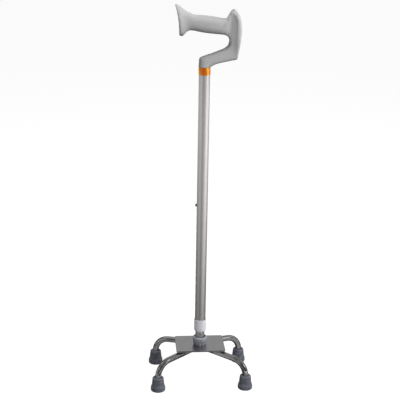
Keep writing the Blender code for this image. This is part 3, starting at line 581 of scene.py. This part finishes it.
# A strip of spring steel, bent like a hairpin in the inner tube, pushes the domed button out through
# both tubes. Nylon bushes keep the tubes apart: one in the inner tube's top, one split for the collar.
BUTTON_RADIUS = 0.0030
BUTTON_TIP = OUTER_RADIUS + 0.0035
BUTTON_FACE = 0.0071
FLANGE_RADIUS = 0.0038
FLANGE_BACK = BUTTON_FACE - 0.0009
STUB_RADIUS = 0.0012
STUB_END = BUTTON_FACE - 0.0023

polished = Finish("polished_steel", Metallic=1.0)
wear = polished.noise(0.0009, 3)
polished.give(Base_Color=polished.blend(wear, (0.36, 0.32, 0.28), (0.48, 0.44, 0.40)))
polished.give(Roughness=0.16 + wear * 0.18)
polished.relief(wear, 0.000008)
button = filleted([
    (0, BUTTON_TIP, 0), (BUTTON_RADIUS, BUTTON_TIP, 0.0029), (BUTTON_RADIUS, BUTTON_FACE, 0.0002),
    (FLANGE_RADIUS, BUTTON_FACE, 0.0002), (FLANGE_RADIUS, FLANGE_BACK, 0.0002),
    (STUB_RADIUS, FLANGE_BACK, 0), (STUB_RADIUS, STUB_END, 0.0002), (0, STUB_END, 0),
], steps=12)
points = turned(button, 48)[:, :, [2, 0, 1]] * (-1, 1, 1) + (0, 0, BUTTON_Z)
faces = quads(*points.shape[:2], loop=False)
skin("domed_button", points, faces, polished, "button", "button_steel", ["snap_button"])

SPRING_WALL_SIDE = 0.0072
SPRING_BUTTON_SIDE = 0.0056
SPRING_LENGTH = 0.0460
SPRING_BEND_RADIUS = 0.0052
SPRING_OVERHANG = 0.0050
SPRING_WIDTH = 0.0060
SPRING_THICKNESS = 0.0005
SPRING_HOLD = 0.0010  # how far in from each leg of the strip its two places are set
SPRING_EYE = 0.0015
EYE_PATCH = 0.0021
EYE_STEPS = 8

strip = Finish("spring_strip", Metallic=1.0)
rolled = strip.noise(0.0004, 2, stretch=(1, 1, 30))
strip.give(Base_Color=strip.blend(rolled, (0.28, 0.28, 0.30), (0.42, 0.42, 0.44)))
strip.give(Roughness=0.25 + rolled * 0.2)

# The strip's middle line runs down the tube's wall, round a half circle and up to the button. Its
# section is a thin rectangle with rounded edges. Round the eye for the button's stub, a square of
# both faces is left out and made again of rings.
eye = np.array((-SPRING_BUTTON_SIDE, 0))
foot = np.array((SPRING_WALL_SIDE - 2 * SPRING_BEND_RADIUS, -SPRING_LENGTH))
below = eye - (eye - foot) / np.linalg.norm(eye - foot) * EYE_PATCH
bend = np.linspace(0, np.pi, 25)
line = np.concatenate([
    np.linspace((SPRING_WALL_SIDE, SPRING_OVERHANG), (SPRING_WALL_SIDE, -SPRING_LENGTH), 25)[:-1],
    np.stack([SPRING_WALL_SIDE - SPRING_BEND_RADIUS * (1 - np.cos(bend)),
              -SPRING_LENGTH - SPRING_BEND_RADIUS * np.sin(bend)], axis=1),
    np.linspace(foot, below, 24)[1:-1], np.linspace(below, eye, EYE_STEPS // 2 + 1),
    np.linspace(eye, eye + (0, EYE_PATCH), EYE_STEPS // 2 + 1)[1:],
    [(-SPRING_BUTTON_SIDE, SPRING_OVERHANG)],
])
gone = np.concatenate([[0.0], np.cumsum(np.linalg.norm(np.diff(line, axis=0), axis=1))])
eye_at = gone[-2 - EYE_STEPS // 2]
ahead = np.gradient(line, axis=0)
ahead /= np.linalg.norm(ahead, axis=1, keepdims=True)
half = SPRING_THICKNESS / 2, SPRING_WIDTH / 2
flat = np.linspace(-EYE_PATCH, EYE_PATCH, EYE_STEPS + 1)
face = np.stack([flat * 0 + half[0], flat, flat * 0], axis=1)
section = filleted([
    (-half[0], -half[1], 0.0001), (half[0], -half[1], 0.0001), *face,
    (half[0], half[1], 0.0001), (-half[0], half[1], 0.0001), *(face[::-1] * (-1, 1, 1)),
], steps=3)
across, depth = section.T
points = np.stack([
    line[:, :1] + across * ahead[:, 1:], depth + line[:, :1] * 0, line[:, 1:] - across * ahead[:, :1],
], axis=-1)
caps = points[[0, -1]].mean(axis=1, keepdims=True) + np.zeros((2, len(section), 1))
points = np.concatenate([caps[:1], points, caps[1:]])
faces = quads(*points.shape[:2], loop=False)
station = np.repeat(np.concatenate([gone[:1], gone, gone[-1:]]), len(section))[faces].mean(axis=1)
in_patch = np.abs(points.reshape(-1, 3)[faces, 1].mean(axis=1)) < EYE_PATCH
faces = faces[~(in_patch & (np.abs(station - eye_at) < EYE_PATCH))]
side_across, side_up, turn = hole_border(EYE_STEPS, EYE_STEPS)
share = np.array([1.0, 0.5, 0.0, 0.0, 0.5, 1.0])[:, None]
off = np.repeat([half[0], -half[0]], 3)[:, None]
along = eye_at + share * side_up * EYE_PATCH + (1 - share) * SPRING_EYE * np.sin(turn)
patch = np.stack([
    np.interp(along, gone, line[:, 0]) + off * np.interp(along, gone, ahead[:, 1]),
    share * side_across * EYE_PATCH + (1 - share) * SPRING_EYE * np.cos(turn),
    np.interp(along, gone, line[:, 1]) - off * np.interp(along, gone, ahead[:, 0]),
], axis=-1)
faces = np.concatenate([faces, quads(*patch.shape[:2], loop=False) + points[:, :, 0].size])
points = np.concatenate([points.reshape(-1, 3), patch.reshape(-1, 3)]) + (0, 0, BUTTON_Z)
still = SPRING_WALL_SIDE - SPRING_HOLD, 0, BUTTON_Z
pressed = -SPRING_BUTTON_SIDE + SPRING_HOLD, 0, BUTTON_Z
bends = "base", "button", still, pressed
skin("hairpin_spring", points, faces, strip, bends, "spring_steel", ["button_spring"])

nylon = Finish("moulded_nylon", Specular_IOR_Level=0.4)
flow = nylon.noise(0.002, 3)
nylon.give(Base_Color=nylon.blend(flow, (0.085, 0.085, 0.095), (0.125, 0.125, 0.135)))
nylon.give(Roughness=0.42 + flow * 0.16)
nylon.relief(nylon.noise(0.0002), 0.00001)
dress("guide_bush", nylon)
dress("clamp_bush", nylon)

# The collar is a moulded plastic nut on the outer tube's end. Turned tight, its taper squeezes the
# split bush onto the inner tube and takes the play out of the shaft.
COLLAR_BOTTOM = 0.1030
COLLAR_HEIGHT = 0.0270
COLLAR_RADIUS = 0.0125

pale = Finish("pale_plastic", Specular_IOR_Level=0.5)
flow = pale.noise(0.004, 3)
grain = pale.noise(0.0003, 2)
pale.give(Base_Color=pale.blend(flow, (0.545, 0.535, 0.575), (0.63, 0.62, 0.66)))
pale.give(Roughness=0.34 + grain * 0.14)
pale.relief(grain, 0.00002)
outline = filleted([
    (0.0107, 0, 0.0008), (0.0122, 0.0030, 0.0030), (COLLAR_RADIUS, 0.0065, 0.0040),
    (COLLAR_RADIUS, COLLAR_HEIGHT, 0.0008), (0.0114, COLLAR_HEIGHT, 0.0002), (0.0114, 0.0087, 0.0002),
    (0.0113, 0.0084, 0), (0.0113, 0.0038, 0), (0.0106, 0.0012, 0.0002), (0.0098, 0.0012, 0),
    (0.0098, 0, 0.0003),
])
points = turned(outline, 128) + (0, 0, COLLAR_BOTTOM)
faces = quads(*points.shape[:2], loop=True)
skin("locking_nut", points, faces, pale, "collar", "collar_plastic", ["locking_collar"])

# The trim ring is thin orange anodised sheet. It covers the joint of tube and handle, and the steel
# pin that goes through both.
RING_TOP = 0.6632
RING_HEIGHT = 0.0152
RING_BORE = 0.011325
RING_RADIUS = 0.011825

orange = Finish("orange_anodised", Metallic=0.85, Coat_Weight=0.25, Coat_Roughness=0.12)
sheen = orange.noise(0.0004, 2, stretch=(1, 1, 40))
# Painted sheen: random vertical streaks of yellow among the orange-red stand in for the yellow tint of the
# ring's highlights.
painted_sheen_streaks = orange.between(orange.noise(0.009, 1, stretch=(1, 1, 6)), 0.40, 0.62)
orange.give(Base_Color=orange.blend(painted_sheen_streaks, (0.78, 0.17, 0.006), (0.78, 0.51, 0.035)))
orange.give(Roughness=0.24 + sheen * 0.12)
orange.relief(sheen, 0.000008)
outline = filleted([
    (RING_BORE, -RING_HEIGHT, 0.0001), (RING_RADIUS, -RING_HEIGHT, 0.0003),
    (RING_RADIUS, 0, 0.0003), (RING_BORE, 0, 0.0001),
])
points = turned(outline, 128) + (0, 0, RING_TOP)
faces = quads(*points.shape[:2], loop=True)
skin("orange_ring", points, faces, orange, "upper", "orange_trim", ["trim_ring"])
dress("cross_pin", zinc)

# The handle is one grey plastic moulding: a spigot in the tube, a stem, an arm that reaches to the
# right, an upright guard with a hollow face, and a round grip with a flared, dished end.
HANDLE_BOTTOM = 0.6635
SPIGOT_RADIUS = 0.009525
SPIGOT_LENGTH = 0.0480
# Each section of the side view: inner point, outer point, half depths and squareness at both, the
# width of the guard's edge band, and how deep the hollow beside that band is.
HANDLE_SECTIONS = (
    (-0.0119, 0.0000, 0.0119, 0.0000, 0.0119, 0.0119, 2.0, 2.0, 0.0022, 0),
    (-0.0115, 0.0080, 0.0139, 0.0009, 0.0119, 0.0119, 2.0, 2.2, 0.0022, 0),
    (-0.0106, 0.0155, 0.0180, 0.0035, 0.0119, 0.0119, 2.4, 2.6, 0.0022, 0),
    (-0.0080, 0.0186, 0.0225, 0.0057, 0.0119, 0.0119, 2.9, 2.9, 0.0022, 0),
    (0.0010, 0.0220, 0.0280, 0.0074, 0.0119, 0.0119, 3.2, 3.2, 0.0022, 0),
    (0.0120, 0.0257, 0.0350, 0.0090, 0.0119, 0.0119, 3.4, 3.2, 0.0022, 0),
    (0.0240, 0.0301, 0.0440, 0.0109, 0.0120, 0.0120, 3.6, 3.2, 0.0022, 0),
    (0.0345, 0.0342, 0.0530, 0.0129, 0.0123, 0.0124, 3.8, 3.4, 0.0022, 0),
    (0.0405, 0.0374, 0.0605, 0.0145, 0.0127, 0.0129, 4.2, 4.0, 0.0022, 0),
    (0.0447, 0.0412, 0.0634, 0.0168, 0.0131, 0.0137, 5.0, 4.5, 0.0046, 0),
    (0.0470, 0.0462, 0.0652, 0.0280, 0.0137, 0.0161, 5.8, 5.0, 0.0066, 0),
    (0.0474, 0.0512, 0.0678, 0.0440, 0.0145, 0.0193, 6.2, 5.0, 0.0074, 0),
    (0.0463, 0.0554, 0.0694, 0.0610, 0.0149, 0.0214, 6.2, 5.0, 0.0088, 0.0003),
    (0.0442, 0.0585, 0.0697, 0.0758, 0.0149, 0.0222, 5.4, 5.0, 0.0106, 0.0011),
    (0.0418, 0.0605, 0.0682, 0.0903, 0.0148, 0.0219, 4.6, 5.0, 0.0110, 0.0020),
    (0.0397, 0.0615, 0.0645, 0.1015, 0.0146, 0.0206, 3.9, 4.8, 0.0094, 0.0030),
    (0.0378, 0.0621, 0.0602, 0.1082, 0.0148, 0.0186, 3.5, 4.4, 0.0086, 0.0036),
    (0.0360, 0.0625, 0.0555, 0.1109, 0.0150, 0.0170, 3.1, 4.2, 0.0084, 0.0038),
    (0.0343, 0.0627, 0.0510, 0.1082, 0.0152, 0.0162, 2.8, 4.0, 0.0080, 0.0036),
    (0.0325, 0.0629, 0.0467, 0.1009, 0.0153, 0.0156, 2.6, 3.6, 0.0082, 0.0024),
    (0.0300, 0.0631, 0.0420, 0.0945, 0.0154, 0.0153, 2.4, 2.8, 0.0076, 0),
    (0.0260, 0.0633, 0.0360, 0.0939, 0.0155, 0.0152, 2.2, 2.1, 0.0066, 0),
    (0.0180, 0.0639, 0.0230, 0.0962, 0.0160, 0.0160, 2.0, 2.1, 0.0066, 0),
    (0.0060, 0.0651, 0.0070, 0.0985, 0.0160, 0.0160, 2.0, 2.1, 0.0066, 0),
    (-0.0090, 0.0673, -0.0080, 0.0998, 0.0150, 0.0150, 2.0, 2.1, 0.0066, 0),
    (-0.0210, 0.0697, -0.0215, 0.1007, 0.0134, 0.0134, 2.0, 2.1, 0.0066, 0),
    (-0.0290, 0.0704, -0.0300, 0.1040, 0.0124, 0.0124, 2.0, 2.1, 0.0066, 0),
    (-0.0355, 0.0676, -0.0380, 0.1087, 0.0128, 0.0126, 2.0, 2.1, 0.0066, 0),
    (-0.0410, 0.0616, -0.0455, 0.1138, 0.0150, 0.0140, 2.1, 2.1, 0.0066, 0),
    (-0.0440, 0.0597, -0.0515, 0.1178, 0.0172, 0.0152, 2.2, 2.2, 0.0066, 0),
    (-0.0475, 0.0598, -0.0562, 0.1197, 0.0184, 0.0158, 2.2, 2.2, 0.0066, 0),
    (-0.0498, 0.0604, -0.0587, 0.1198, 0.0184, 0.0156, 2.2, 2.2, 0.0066, 0),
)
RIM_BLEND = 0.03
RIM_FLARE = 1.7
HOLLOW_REACH = 0.0030
HOLLOW_LEFT = 0.0370
HOLLOW_FADE = 0.0130
BOW = 0.0030
BOW_START = -0.0295
BOW_LENGTH = 0.0245
FLANGE_ROUND = 0.0008
FLANGE_DISH = 0.0020
BAND_PARTS = 4  # a half section's points: so many parts of them on the band, and the rest beyond
FACE_PARTS = 10
HANDLE_SIDES = 112
HANDLE_STEPS = 8


def smooth_rows(rows, steps):
    """Rows of numbers with smooth ones between them.

    A cubic goes through each two rows, with the slopes that the rows beside them give. The rows are
    spaced by the square root of the distance between their first four numbers.
    """
    gaps = np.sqrt(np.linalg.norm(np.diff(rows[:, :4], axis=0), axis=1))
    knots = np.concatenate([[0.0], np.cumsum(gaps)])
    slopes = np.gradient(rows, knots, axis=0)
    u = (np.arange(steps) / steps)[None, :, None]
    gap = gaps[:, None, None]
    here, ahead = rows[:-1, None], rows[1:, None]
    start = (1 + 2 * u) * (1 - u) ** 2 * here + u * (1 - u) ** 2 * gap * slopes[:-1, None]
    end = u * u * (3 - 2 * u) * ahead - u * u * (1 - u) * gap * slopes[1:, None]
    return np.concatenate([(start + end).reshape(-1, rows.shape[1]), rows[-1:]])


def handle_rings(rows, sides):
    """One ring of points for each section of the handle.

    Along a section t goes from 1 at its outer end to -1 at its inner one. The half depth there is a
    superellipse's, (1 - |t|^n)^(1/n), times a width. That width is full across the guard's edge band
    and falls from it in a power curve to the inner end's, with the corner between them rounded. At a
    distance d from the band the hollow lies deeper by d / (d + reach), and it fades out to the left.
    """
    ax, az, bx, bz, inner, outer, inner_square, outer_square, rim, hollow = rows.T[:, :, None]
    length = np.hypot(bx - ax, bz - az)
    edge = np.arccos(1 - 2 * rim / length)
    half = BAND_PARTS + FACE_PARTS
    count = np.arange(sides) / sides * 2 * half
    near = np.minimum(count, 2 * half - count)
    beyond = edge + (near - BAND_PARTS) / FACE_PARTS * (np.pi - edge)
    turn = np.where(near < BAND_PARTS, near / BAND_PARTS * edge, beyond)
    t = np.cos(turn)
    share = length * (1 + t) / 2 / (length - rim)
    mix = np.clip(0.5 + (share - 1) / (2 * RIM_BLEND), 0, 1)
    share = share * (1 - mix) + mix - RIM_BLEND * mix * (1 - mix)
    inward = (1 - share) * (length - rim)
    fade = np.clip(((ax + bx) / 2 + (bx - ax) / 2 * t - HOLLOW_LEFT) / HOLLOW_FADE, 0, 1)
    sunk = hollow * inward / (inward + HOLLOW_REACH) * fade * fade * (3 - 2 * fade)
    width = inner + (outer - inner) * share**RIM_FLARE - sunk
    square = np.where(t > 0, outer_square, inner_square)
    swell = (1 - np.abs(t) ** square) ** (1 / square)
    bow = BOW * np.clip((BOW_START - (ax + bx) / 2) / BOW_LENGTH, 0, 1) ** 2
    x = (ax + bx) / 2 + (bx - ax) / 2 * t + bow * (1 - t * t)
    z = (az + bz) / 2 + (bz - az) / 2 * t
    return np.stack([x, np.where(count < half, 1, -1) * swell * width, z], axis=-1)


grip = Finish("grey_grip", Specular_IOR_Level=0.5)
flow = grip.noise(0.012, 3)
grain = grip.noise(0.00045, 3)
seam = 1 - grip.between(abs(grip.level("Y")), 0.0001, 0.0004)
grip.give(Base_Color=grip.blend(flow, (0.35, 0.35, 0.355), (0.39, 0.39, 0.395)))
grip.give(Roughness=0.36 + grain * 0.10 + flow * 0.06)
grip.relief(grain * 0.3 + seam, 0.00005)

rows = smooth_rows(np.array(HANDLE_SECTIONS), HANDLE_STEPS)
rings = handle_rings(rows, HANDLE_SIDES)
end = rings[-1]
centre = end.mean(axis=0)
axis = np.cross(end[0] - centre, (0, 1, 0))
axis /= np.linalg.norm(axis)
# The flange's rim is a quarter round, and its end is dished: each ring is the end's outline drawn in
# towards its middle, and pushed in, most quickly at first.
angle = np.radians(np.linspace(0, 90, 9))[:, None, None]
out = (end - centre) / np.linalg.norm(end - centre, axis=1, keepdims=True)
rim_rings = end - out * FLANGE_ROUND * (1 - np.cos(angle)) + axis * FLANGE_ROUND * (np.sin(angle) - 1)
gone = np.linspace(0, 1, 16)[1:, None, None]
dish = rim_rings[-1] * (1 - gone) + centre * gone - axis * FLANGE_DISH * (1 - (1 - gone) ** 3)
trimmed = (rings.mean(axis=1) - centre) @ axis < -FLANGE_ROUND * 1.3
# The spigot's outline comes from far out and goes back there: that part is cut off, with the one
# point that follows the outline's end on the axis.
spigot = filleted([
    (1, 0, 0), (SPIGOT_RADIUS, 0, 0), (SPIGOT_RADIUS, -SPIGOT_LENGTH, 0.0006), (0, -SPIGOT_LENGTH, 0),
])
spigot = turned(spigot[spigot[:, 0] < 0.5][:-1], HANDLE_SIDES)[::-1]
points = np.concatenate([spigot, rings[trimmed], rim_rings, dish]) + (0, 0, HANDLE_BOTTOM)
faces = quads(*points.shape[:2], loop=False)
skin("moulded_handle", points, faces, grip, "upper", "grip_plastic", ["handle"])

# The studio: a pale floor, four soft lamps, and a grey ceiling over pale walls. Round it hangs a tent
# of cloth that only polished things see, mostly dark, with a few lit patches on its roof and ground.
FLOOR_REACH = 40.0
TENT_REACH = 4.0
TENT_SIDES = 64
TENT_RINGS = 17
TENT_GAP = 0.0006
# The tent's lights: degrees round from the front, degrees up, strength, and how many degrees from its
# middle each starts to fall and ends.
TENT_LIGHTS = (
    (-80, 12, 0.33, 12, 35), (-30, 28, 0.40, 6, 13), (60, 28, 0.25, 8, 20), (110, 28, 0.37, 12, 35),
    (180, 30, 0.35, 12, 35), (-100, 56, 0.5, 8, 14), (63, 32, 1.3, 6, 10),
)
# And the ground's: degrees round from the front, how wide (1 is narrow), and the strengths near the
# cane, from there on, and for each metre farther out.
GROUND_LIGHTS = (
    (-105, 0.92, 0.32, 0, 0), (-60, 0.80, 0, 0.17, 0.02), (-30, 0.92, 0.50, 0, 0),
    (30, 0.80, 0, 0.38, 0), (60, 0.92, 0, 0, 0.58), (90, 0.80, 0.34, 0, 0), (90, 0.92, 0, 0, 0.42),
)


def stage_sheet(name, corners, faces, finish):
    """A sheet of the studio, which is no part of the cane."""
    mesh = bpy.data.meshes.new(name)
    mesh.from_pydata(corners, [], faces)
    mesh.materials.append(finish.material)
    sheet = bpy.data.objects.new(name, mesh)
    bpy.context.scene.collection.objects.link(sheet)
    return sheet


pale_floor = Finish("pale_floor", Specular_IOR_Level=0.0)
paths = "Is Camera Ray", "Is Glossy Ray", "Is Transmission Ray"
camera_ray, glossy_ray, through_ray = [pale_floor.node("ShaderNodeLightPath", out=path) for path in paths]
pale_floor.give(Base_Color=(0.13, 0.13, 0.13, 1), Roughness=0.9, Emission_Strength=1.0)
pale_floor.give(Emission_Color=(camera_ray + glossy_ray + through_ray) * 0.93)
square = [(x * FLOOR_REACH, y * FLOOR_REACH, 0) for x, y in ((-1, -1), (1, -1), (1, 1), (-1, 1))]
stage_sheet("floor", square, [range(4)], pale_floor)


def towards(cloth, turn, rise, wide, narrow):
    """0 to 1 as a point of the cloth, seen from the origin, comes round towards a direction.

    It is smooth between the cosines of the widest and the narrowest angle from that direction.
    """
    turn, rise = math.radians(turn), math.radians(rise)
    way = math.sin(turn) * math.cos(rise), -math.cos(turn) * math.cos(rise), math.sin(rise)
    heading = cloth.node("ShaderNodeVectorMath", {"operation": "NORMALIZE"}, {0: cloth.place()})
    along = cloth.node("ShaderNodeVectorMath", {"operation": "DOT_PRODUCT"}, {0: heading, 1: way}, out=1)
    return cloth.between(along, wide, narrow)


ground = Finish("tent_ground", Specular_IOR_Level=0.0)
out = ground.node("ShaderNodeVectorMath", {"operation": "LENGTH"}, {0: ground.place()}, out=1)
beyond = ground.between(out, 0.05, 0.35)
glow = 0.01 + out * 0.28
for turn, wide, near, far, farther in GROUND_LIGHTS:
    glow = glow + towards(ground, turn, 0, wide, 1.0) * ((1 - beyond) * near + beyond * far + out * farther)
ground.give(Base_Color=(0, 0, 0, 1), Emission_Color=glow, Emission_Strength=1.0)

tent = Finish("tent_cloth", Specular_IOR_Level=0.0)
glow = 0.05 + towards(tent, 0, 90, 0.3, 0.95) * 0.16
for turn, rise, strength, first, last in TENT_LIGHTS:
    wide, narrow = math.cos(math.radians(last)), math.cos(math.radians(first))
    glow = glow + towards(tent, turn, rise, wide, narrow) * strength
tent.give(Base_Color=(0, 0, 0, 1), Emission_Color=glow, Emission_Strength=1.0)

turn = np.linspace(0, 2 * np.pi, TENT_SIDES, endpoint=False)
rise = np.linspace(0, np.pi / 2, TENT_RINGS)[:, None]
dome = np.stack([np.cos(rise) * np.cos(turn), np.cos(rise) * np.sin(turn), np.sin(rise) + turn * 0], axis=-1)
for name, corners, faces, finish in (
    ("tent_ground", dome[0] * TENT_REACH + (0, 0, TENT_GAP), [range(TENT_SIDES)], ground),
    ("tent", dome.reshape(-1, 3) * TENT_REACH, quads(TENT_RINGS, TENT_SIDES, loop=False).tolist(), tent),
):
    sheet = stage_sheet(name, corners.tolist(), faces, finish)
    sheet.visible_camera = sheet.visible_diffuse = sheet.visible_shadow = sheet.visible_transmission = False

world = bpy.data.worlds.new("studio")
world.use_nodes = True
sky = Nodes(world.node_tree)
direction = sky.node("ShaderNodeTexCoord", out="Generated")
rise = sky.node("ShaderNodeSeparateXYZ", {}, {"Vector": direction}, out="Z")
walls = sky.node("ShaderNodeMapRange", {"interpolation_type": "SMOOTHSTEP"}, {
    "Value": rise, "From Min": 0.0, "From Max": 0.40, "To Min": 1.35, "To Max": 0.15,
})
camera_ray = sky.node("ShaderNodeLightPath", out="Is Camera Ray")
sky.feed(sky.nodes["Background"].inputs["Color"], sky.blend(camera_ray, walls, (0.97, 0.97, 0.97)))
bpy.context.scene.world = world

LAMP_DISTANCE = 2.2
LAMP_AIM = 0.45
LAMP_SIZE = 0.8


def lamp(name, turn, rise, power):
    """A soft square lamp that faces the shaft's middle. Metal doesn't see it: the tent does that."""
    light = bpy.data.lights.new(name, "AREA")
    light.shape = "SQUARE"
    light.size = LAMP_SIZE
    light.energy = power
    thing = bpy.data.objects.new(name, light)
    turn, rise = math.radians(turn), math.radians(rise)
    way = Vector((math.sin(turn) * math.cos(rise), -math.cos(turn) * math.cos(rise), math.sin(rise)))
    place = Matrix.Translation(way * LAMP_DISTANCE + Vector((0, 0, LAMP_AIM)))
    thing.matrix_world = place @ way.to_track_quat("Z", "Y").to_matrix().to_4x4()
    thing.visible_glossy = False
    bpy.context.scene.collection.objects.link(thing)


lamp("key", 40, 25, 43.5)
lamp("left", -60, 30, 5)
lamp("side", 100, 25, 35)
lamp("rear", -110, 68, 27)

# The camera stands a little to the left of the cane's front and looks down on it.
CAMERA_DISTANCE = 1.9593
CAMERA_HEIGHT = 1.0057
CAMERA_YAW = math.radians(5.045)
CAMERA_AIM = math.radians(4.911)
CAMERA_PITCH = math.radians(17.40)
CAMERA_ROLL = math.radians(0.972)
CAMERA_LENS = 91.22
CAMERA_SENSOR = 36

ahead = Vector((math.sin(CAMERA_AIM), math.cos(CAMERA_AIM), 0))
forward = ahead * math.cos(CAMERA_PITCH) - Vector((0, 0, math.sin(CAMERA_PITCH)))
level = Vector((math.cos(CAMERA_AIM), -math.sin(CAMERA_AIM), 0))
upright = level.cross(forward)
right = level * math.cos(CAMERA_ROLL) + upright * math.sin(CAMERA_ROLL)
up = upright * math.cos(CAMERA_ROLL) - level * math.sin(CAMERA_ROLL)
camera = bpy.data.objects.new("camera", bpy.data.cameras.new("camera"))
camera.data.sensor_width = CAMERA_SENSOR
camera.data.lens = CAMERA_LENS
camera.data.clip_end = 60
turn = Matrix((right, up, -forward)).transposed().to_4x4()
place = (-math.sin(CAMERA_YAW) * CAMERA_DISTANCE, -math.cos(CAMERA_YAW) * CAMERA_DISTANCE, CAMERA_HEIGHT)
camera.matrix_world = Matrix.Translation(place) @ turn
bpy.context.scene.collection.objects.link(camera)
bpy.context.scene.camera = camera
bpy.context.scene.view_settings.view_transform = "Standard"
